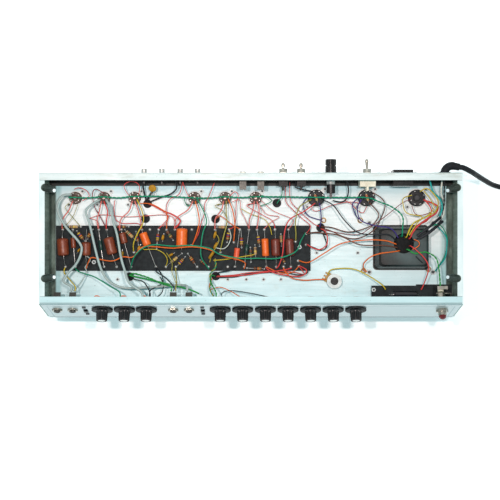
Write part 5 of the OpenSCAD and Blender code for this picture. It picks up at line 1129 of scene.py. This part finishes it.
def resistor(shape, e, code, body, *heights):
    """A moulded resistor with four bands; slots 0 and 1 are bodies, 2 leads, then the bands in order."""
    r, length = e.d / 2, e.length
    profile = [(r * 0.4, 0), (r * 0.86, 0), (r, 0.35)]
    slots = [body, body]
    z = 0.35 + 0.1 * length
    for name in code.split():
        profile += [(r, z), (r * 1.012, z), (r * 1.012, z + 0.1 * length), (r, z + 0.1 * length)]
        slots += [body, body, 3 + BANDS.index(name), body]
        z += 0.18 * length + (0.04 * length if name == code.split()[2] else 0)
    profile += [(r, length - 0.35), (r * 0.86, length), (r * 0.4, length)]
    slots += [body, body, body]
    shape.lathe(profile, slots, body_frame(e, *heights[:1]), 20)
    leads(shape, e, *heights)


parts = Shape()
for n, e in enumerate(resistors):
    resistor(parts, e, CODES[n % len(CODES)], 0 if n % 4 else 1)
for x, slant in ((OCTAL_X[0] - 1, 6), (OCTAL_X[1], 5)):
    resistor(parts, Axial(x - slant / 2, ROW + 8, x + slant / 2, ROW - 8, 10, 3.6, 0.5), CODES[3], 1,
             FLOOR + 13, FLOOR + 14)
parts.done("resistors_banded", [resistor_brown, resistor_tan, tinned, *BAND.values()], "carbon_resistor", "resistors")

# Solder on the eyelets and at the wire ends
blobs = Shape()


def blob(at, r, h):
    rows = [(r * math.cos(t), h * math.sin(t)) for t in (math.pi / 2 * k / 4 for k in range(4))] + [(r * 0.12, h)]
    swell = 1 + rng.uniform(-0.12, 0.12)
    blobs.lathe([(q * swell, z) for q, z in rows], 0, moved(*at), 12)


row_eyes = [(x, BOARD_Y + EYE_ROW) for x in EYE_TOP] + [(x, BOARD_Y - EYE_ROW) for x in EYE_LOW]
for x, y in row_eyes + [(x, y + LAY) for x, y in EYE_END]:
    blob((x, y, BOARD_TOP + 0.66), 1.6, 1.3)
for e in resistors:
    for x, y in ((e.x1, e.y1 + LAY), (e.x2, e.y2 + LAY)):
        if min(abs(x - px) + abs(y - py) for px, py in row_eyes) > 4:
            blob((x, y, BOARD_TOP + 0.05), 1.3, 1.7)
blobs.done("solder_joints", [solder_metal], "solder", sharp=80)


# Tube sockets: moulded base, metal saddle, centre and solder lugs
def socket(shape, x, kind):
    at = moved(x, SOCKET_Y, FLOOR)
    r, c = kind.d / 2, kind.centre_d / 2
    low, top, reach = -SHEET - kind.drop, kind.top, kind.reach
    shape.lathe([(r - 1, low), (r, low + 0.6), (r, top - 1.4), (r - 0.7, top - 0.4), (r - 1.4, top), (r - 4.4, top),
                 (r - 4.9, top - 1.6), (c + 1.2, top - 1.6), (c + 0.6, top - 0.4), (c, top - 0.4)], 0, at, 48)
    shape.lathe([(r, 0.02), (r + 2, 0.02), (r + 2, 0.6), (r + 1.7, 0.8), (r, 0.8)], 1, at, 48, ring=True)
    for s in (-1, 1):
        ear = at @ spun(45, "Z") @ moved(s * (reach + r + 3.4) / 2, 0, 0.02)
        shape.box((reach - r + 3.4, 7, 0.8), ear, 1, 0.2)
    shape.lathe([(c - 0.9, top - 3), (c - 0.1, top - 0.6), (c - 0.1, top + 1.6), (c - 0.5, top + 2),
                 (c - 1, top + 1.2)], 2, at, 24)
    root, tip = top - 1.2, top + LUG_UP
    strip = [(r - 3.4, root, 2.4), (r - 2.6, root + 1.6, 2.4), (r - 2.4, tip - 2.2, 1.5), (r - LUG_IN, tip - 0.9, 2.4),
             (r - LUG_IN, tip, 1.5)]
    verts = [(q + side, w / 2 * face, z) for q, z, w in strip
             for side, face in ((-0.3, -1), (0.3, -1), (0.3, 1), (-0.3, 1))]
    for k in range(kind.pins):
        shape.skin(verts, 4, 3, at @ spun(lug_angle(kind, k), "Z"))


for name, node, slot, places, kind, finishes in (
        ("nine_pin_sockets", "noval_sockets", "brown_socket", NOVAL_X, NOVAL,
         [phenolic, saddle_plate, spigot_pink, tinned]),
        ("eight_pin_sockets", "octal_sockets", "black_socket", OCTAL_X, OCTAL,
         [phenolic_black, saddle_plate, anode, tinned])):
    sockets = Shape()
    for x in places:
        socket(sockets, x, kind)
    sockets.done(name, finishes, slot, node)

# Black discs in the grommets, painted shade of their holes; the tan wafer of the bias pot, ring lugs, a loose disc
# capacitor and the lamp holder
hole_shades = Shape()
for x, y in GROMMETS:
    hole_shades.lathe([(1, 0.2), (4.1, 0.2), (4.1, 0.7), (1, 0.7)], 0, moved(x, y + LAY, STAND), 24)
hole_shades.done("grommet_hole_shades", [rubber], "black_rubber")
trim = Shape()
wafer = moved(BIAS_AT[0], BIAS_AT[1] + LAY, FLOOR) @ spun(BIAS_TURN, "Z")
trim.box((5.4, 15, 1.2), wafer @ moved(11.4, 0, 3.4), 0, 0.2)
for i in (-1, 0, 1):
    trim.box((6, 2.2, 0.6), wafer @ moved(14.6, 5 * i, 4.4), 1, 0.1)
for x, y in ((109.5, 33), (165, 33), (170, -43), (268, -41)):
    at = moved(x, y + LAY, FLOOR + 0.05)
    trim.lathe([(2.1, 0), (4.3, 0), (4.3, 0.8), (2.1, 0.8)], 1, at, 24, ring=True)
    trim.lathe([(0.6, 0), (3.1, 0), (3.1, 2.6), (2.6, 3), (0.6, 3)], 2, at, 6)
loose = moved(-147, 81 + LAY, FLOOR + 15) @ spun(28, "X")
trim.lathe([(1.6, 0), (4, 0.3), (5.4, 1.1), (5.8, 2), (5.4, 2.9), (4, 3.7), (1.6, 4)], 3, loose, 32)
for s in (-1, 1):
    lead = laid([(-147 + 3 * s, 78, 16), (-146 + 3 * s, 74, 14), (-149 + 2 * s, 66, 10)])
    trim.tube(smooth_path(lead, 4), 0.8, 4)
trim.done("floor_trim", [tan_wafer, brass, zinc, disc_mustard, tinned], "nickel")
holder = Shape()
holder_at = on_panel(PILOT_X, JACK_ROW)
holder.lathe([(1, -33), (4.2, -33), (4.6, -32.4), (4.6, -25), (1, -25)], 0, holder_at, 32)
holder.box((15, 1, 5), holder_at @ moved(2, 5.2, -32.5), 1, 0.2)
holder.box((1, 6, 5), holder_at @ moved(9.2, 2.4, -32.5), 1, 0.2)
holder.done("lamp_holder", [cream, pot_metal], "nickel")

# Half-round channels for the cabinet bolts stand against the end plates, from the notches down to the floor holes;
# their dark metal is painted shade.
BOLT_X = HALF_W - 8.8
BOLT_Y = (REAR_Y - 21.8, REAR_Y - 21.8 - 131)
bends = [math.radians(-90 + 180 * k / 12) for k in range(13)]
channels = Shape()
for y in BOLT_Y:
    for side in (-1, 1):
        verts = [(side * (BOLT_X + (r + wall) * math.cos(a)), y + (r + wall) * math.sin(a), z)
                 for r, z in ((3.7, FLOOR + 0.1), (5.9, RIM - SHEET - 0.1)) for wall in (0, 0.9) for a in bends]
        quads = [(0, 26, 39, 13), (12, 25, 51, 38)]
        for k in range(12):
            quads += [(k, k + 1, k + 27, k + 26), (k + 13, k + 39, k + 40, k + 14), (k, k + 13, k + 14, k + 1),
                      (k + 26, k + 27, k + 40, k + 39)]
        channels.add(verts, [q[::-1] if side > 0 else q for q in quads], 0)
channels.done("bolt_channels", [shaded_channel_metal], "zinc_steel")

# Control knobs: thick dial skirt with numbers, fluted grip, spun metal cap
KNOB_LIFT = 1.9
SKIRT_TOP = 5.1
KNOB_TOP = KNOB_LIFT + 18.2
FLUTES = 20
DIAL_IN, DIAL_OUT, DIAL_FALL = 9.9, 14.7, 0.3


def glyphs():
    """Flat triangles of the figures 1 to 10, each about its own middle, 1 high."""
    out = {}
    for figure in range(1, 11):
        data = bpy.data.curves.new("figure", "FONT")
        data.body = str(figure)
        data.align_x = "CENTER"
        data.align_y = "CENTER"
        data.resolution_u = 2
        made = bpy.data.objects.new("figure", data)
        scene.collection.objects.link(made)
        shown = made.evaluated_get(bpy.context.evaluated_depsgraph_get())
        mesh = shown.to_mesh()
        out[figure] = ([tuple(v.co) for v in mesh.vertices], [tuple(p.vertices) for p in mesh.polygons])
        shown.to_mesh_clear()
        bpy.data.objects.remove(made)
        bpy.data.curves.remove(data)
    return out


FIGURES = glyphs()


def knob(name, x):
    shape = Shape()
    at = on_panel(x, KNOB_ROW)
    skirt = [(5.3, 6.2), (5.3, 4.2), (8.6, 4.2), (8.6, KNOB_LIFT), (15.1, KNOB_LIFT), (15.5, KNOB_LIFT + 0.25),
             (15.5, SKIRT_TOP - 0.75), (15.25, SKIRT_TOP - 0.4), (DIAL_OUT, SKIRT_TOP - DIAL_FALL),
             (DIAL_IN, SKIRT_TOP)]
    grip = [(9.6, SKIRT_TOP + 0.3), (8.8, SKIRT_TOP + 0.95), (8.5, SKIRT_TOP + 2.05), (8.4, SKIRT_TOP + 3.9),
            (7.95, KNOB_TOP - 2), (7.8, KNOB_TOP - 1), (7.4, KNOB_TOP - 0.2), (6.9, KNOB_TOP - 0.05),
            (5.9, KNOB_TOP - 0.05), (5.85, KNOB_TOP - 0.6)]
    depth = [0] * len(skirt) + [0, 0.25, 0.6, 0.7, 0.7, 0.6, 0.2, 0, 0, 0]

    def flute(row, a):
        return -depth[row] * max(0.0, math.cos(FLUTES * a)) ** 2

    shape.lathe(skirt + grip, 0, at, 8 * FLUTES, flute)
    rings = [(0.4, KNOB_TOP - 0.78), (5.72, KNOB_TOP - 0.78), (5.72, KNOB_TOP - 0.5), (5.5, KNOB_TOP - 0.3),
             (5.0, KNOB_TOP - 0.26)]
    rings += [(5.0 - 0.5 * k, KNOB_TOP - 0.26 + (0.03 if k % 2 else 0.0)) for k in range(1, 10)]
    shape.lathe(rings, 1, at, 48)
    shape.lathe([(0.5, -10.6), (3.15, -10.6), (3.15, 6.1), (0.5, 6.1)], 2, at, 24)
    slope = Matrix.Rotation(-math.atan2(DIAL_FALL, DIAL_OUT - DIAL_IN), 4, "X")
    for figure, (verts, faces) in FIGURES.items():
        spot = spun(150 - 300 * (figure - 1) / 9, "Z") @ moved(0, 12.3, SKIRT_TOP - 0.09)
        shape.add(verts, faces, 3, at @ spot @ slope @ Matrix.Diagonal((2.9, 2.9, 1, 1)))
    shape.done(name + "_dressed", [knob_black, cap_silver, pot_metal, numeral], "black_plastic", name, name, 32)


for n, x in enumerate(KNOB_X):
    knob(f"knob_{n + 1}", x)

# Power tubes: black base with its key and pins, glass with its getter, plate structure inside
glass, inside = Shape(), Shape()
for x in OCTAL_X:
    at = moved(x, SOCKET_Y, STAND - 3.3) @ spun(180, "X")
    inside.lathe([(9, 0), (16, 0), (16.3, 0.5), (16.3, 18.6), (15.9, 19.8), (15.2, 20), (14, 20.4), (8, 20.4)],
                 0, at, 48)
    inside.lathe([(1, -12), (3.4, -12), (3.9, -11), (3.9, 0.4), (1, 0.4)], 0, at, 24)
    for k in range(OCTAL.pins):
        pin = at @ spun(-lug_angle(OCTAL, k), "Z") @ moved(8.75, 0, 0)
        inside.lathe([(0.5, -4), (1.0, -3.8), (1.2, -3.2), (1.2, 0.4), (0.5, 0.4)], 3, pin, 16)
    wall = [(13.4, 19.2), (15.3, 20.2), (17.4, 25), (18.35, 28.2), (18.4, 40), (18.4, 59.5), (17.4, 64), (15.3, 68.2),
            (12.4, 71.6), (9.2, 73.1), (5, 73.8), (1, 74)]
    glass.lathe(wall + [(max(1, r - 0.7), z - 0.7) for r, z in reversed(wall[1:])], 0, at, 48)
    inside.box((22, 12, 36), at @ moved(0, 0, 25), 1, 1.0)
    for s in (-1, 1):
        inside.box((1, 24, 34), at @ moved(s * 7, 0, 26), 1, 0.4)
    for z in (23.6, 62):
        inside.lathe([(1, z), (13, z), (13, z + 0.6), (1, z + 0.6)], 2, at, 32)
    inside.lathe([(17.2, 60), (16.2, 63.6), (14.2, 67.2), (11.4, 70.3), (8.6, 71.8), (4.8, 72.5), (1, 72.7), (1, 72.3),
                  (4.6, 72.1), (8.3, 71.4), (11.1, 69.9), (13.8, 66.9), (15.8, 63.4), (16.8, 60)], 4, at, 40, ring=True)
inside.done("power_tube_inner", [phenolic_black, anode, mica, nickel, getter], "black_plastic")
glass.done("power_tube_glass", [tube_glass], "dark_glass", "octal_tubes")

# The faceted jewel of the pilot lamp
jewel = Shape()
jewel.lathe([(2, 2.2), (4.8, 2.2), (4.8, 11.6), (5.6, 11.6), (5.5, 13.2), (4.4, 15.2), (2.6, 16.4), (1.4, 16.8)], 0,
            holder_at, 10)
jewel.done("pilot_jewel_cut", [jewel_red], "red_jewel", "pilot_jewel", sharp=12)

# Finishes of the CAD pieces that stay
FINISH = {
    plated_sheet("plated_sheet"): "chassis_pan",
    wall_sheet("end_sheet"): "end_plates",
    brushed_plate("brushed_plate"): "control_plate",
    board_black: "component_boards",
    eyelet_metal: "board_eyelets",
    tube_glass: "preamp_tubes",
    shield_metal: "tube_shields",
    zinc: "tube_retainers",
    laminated("core_stack", STAND - 52, STAND): "power_transformer_core",
    painted_bell("bell_paint"): "power_transformer_bells",
    laminated("output_stack", 21, 67): "output_transformer",
    laminated("small_stack", STAND - 41, STAND - 1.3): "small_transformers",
    two_sided("jack_metal", (176, 174, 164), (62, 62, 56)): "jacks",
    two_sided("phono_metal", (196, 196, 192), (30, 34, 34)): "phono_jacks",
    switch_cases("switch_cases"): "toggle_bodies",
    fuse_body("fuse_body"): "fuse_holder",
    screw_ends("screw_ends"): "chassis_screws",
    pale_metal: "bias_pot",
    pot_metal: "filter_capacitor_pan pot_bodies slide_switch_bodies",
    nickel: "panel_nuts pilot_lamp toggle_lever_1 toggle_lever_2 power_lever",
    rubber: "strain_relief grommets mains_plug",
    black_gloss: "ac_outlet slide_button_1 slide_button_2 bias_shaft fuse_cap",
}
for finish, names in FINISH.items():
    for node in (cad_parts[name] for name in names.split()):
        if not node.material_slots:
            node.data.materials.append(finish)
        for slot in node.material_slots:
            slot.material = finish


# The white table
def white_table(name):
    """White that glows towards the camera, less in a strip before the front wall, where the photo keeps its shadows."""
    near_glow, strip_glow, far_glow = 0.55, 0.26, 0.45
    s = Surface(name, Roughness=0.6, Specular_IOR_Level=0.2)
    s.colour(s.mottle(s.noise(40, 4), (247, 248, 248), (250, 251, 251)))
    strip = s.both(s.fade("Y", 1.0, 0.0, FOOT_Y - 6, FOOT_Y + 6), s.fade("Y", 0.0, 1.0, FOOT_Y - 70, FOOT_Y - 40))
    across = s.math("ABSOLUTE", s.axis("X"))
    strip = s.both(strip, s.spread(across, 1.0, 0.0, (HALF_W - 10) * MM, (HALF_W + 40) * MM))
    level = s.math("ADD", s.spread(strip, near_glow, strip_glow, 0.0, 1.0),
                   s.spread(s.away((0, 0), (600, 400)), 0.0, far_glow, 0.6, 1.6))
    glow = s.node("Emission", Strength=s.both(s.seen(), level))
    added = s.node("AddShader", s.shader.outputs[0], glow.outputs[0])
    s.feed(s.tree.nodes["Material Output"].inputs["Surface"], added.outputs[0])
    return s.material


TABLE_HALF = 4
floor_mesh = bpy.data.meshes.new("table")
floor_mesh.from_pydata([(x * TABLE_HALF, y * TABLE_HALF, 0) for x, y in ((-1, -1), (1, -1), (1, 1), (-1, 1))], [],
                       [(0, 1, 2, 3)])
floor_mesh.materials.append(white_table("white_table"))
table = bpy.data.objects.new("table", floor_mesh)
scene.collection.objects.link(table)

# A cool sky lights the part, and shows as white
SKY_COLOUR = (0.42, 0.92, 1.0, 1)
SKY_STRENGTH = 0.45
world = bpy.data.worlds.new("world")
scene.world = world
world.use_nodes = True
sky = Nodes(world.node_tree)
cool = sky.tree.nodes["Background"]
sky.feed(cool.inputs["Color"], SKY_COLOUR)
sky.feed(cool.inputs["Strength"], SKY_STRENGTH)
white = sky.node("Background", Color=(1, 1, 1, 1), Strength=1.0)
blend = sky.node("MixShader", sky.seen(), cool.outputs[0], white.outputs[0])
sky.feed(sky.tree.nodes["World Output"].inputs["Surface"], blend.outputs[0])

# Two warm lamps beside the camera
LAMP_D = 45
LAMP_HEIGHT = 1440
LAMP_COLOUR = (1.0, 0.86, 0.82)
for name, x, y, power in (("lamp_left", -225, 92, 8.6), ("lamp_right", 165, 92, 6.2)):
    data = bpy.data.lights.new(name, "AREA")
    data.shape = "DISK"
    data.size = LAMP_D * MM
    data.energy = power
    data.color = LAMP_COLOUR
    lamp = bpy.data.objects.new(name, data)
    lamp.location = (x * MM, y * MM, LAMP_HEIGHT * MM)
    scene.collection.objects.link(lamp)

scene.view_settings.view_transform = "Standard"
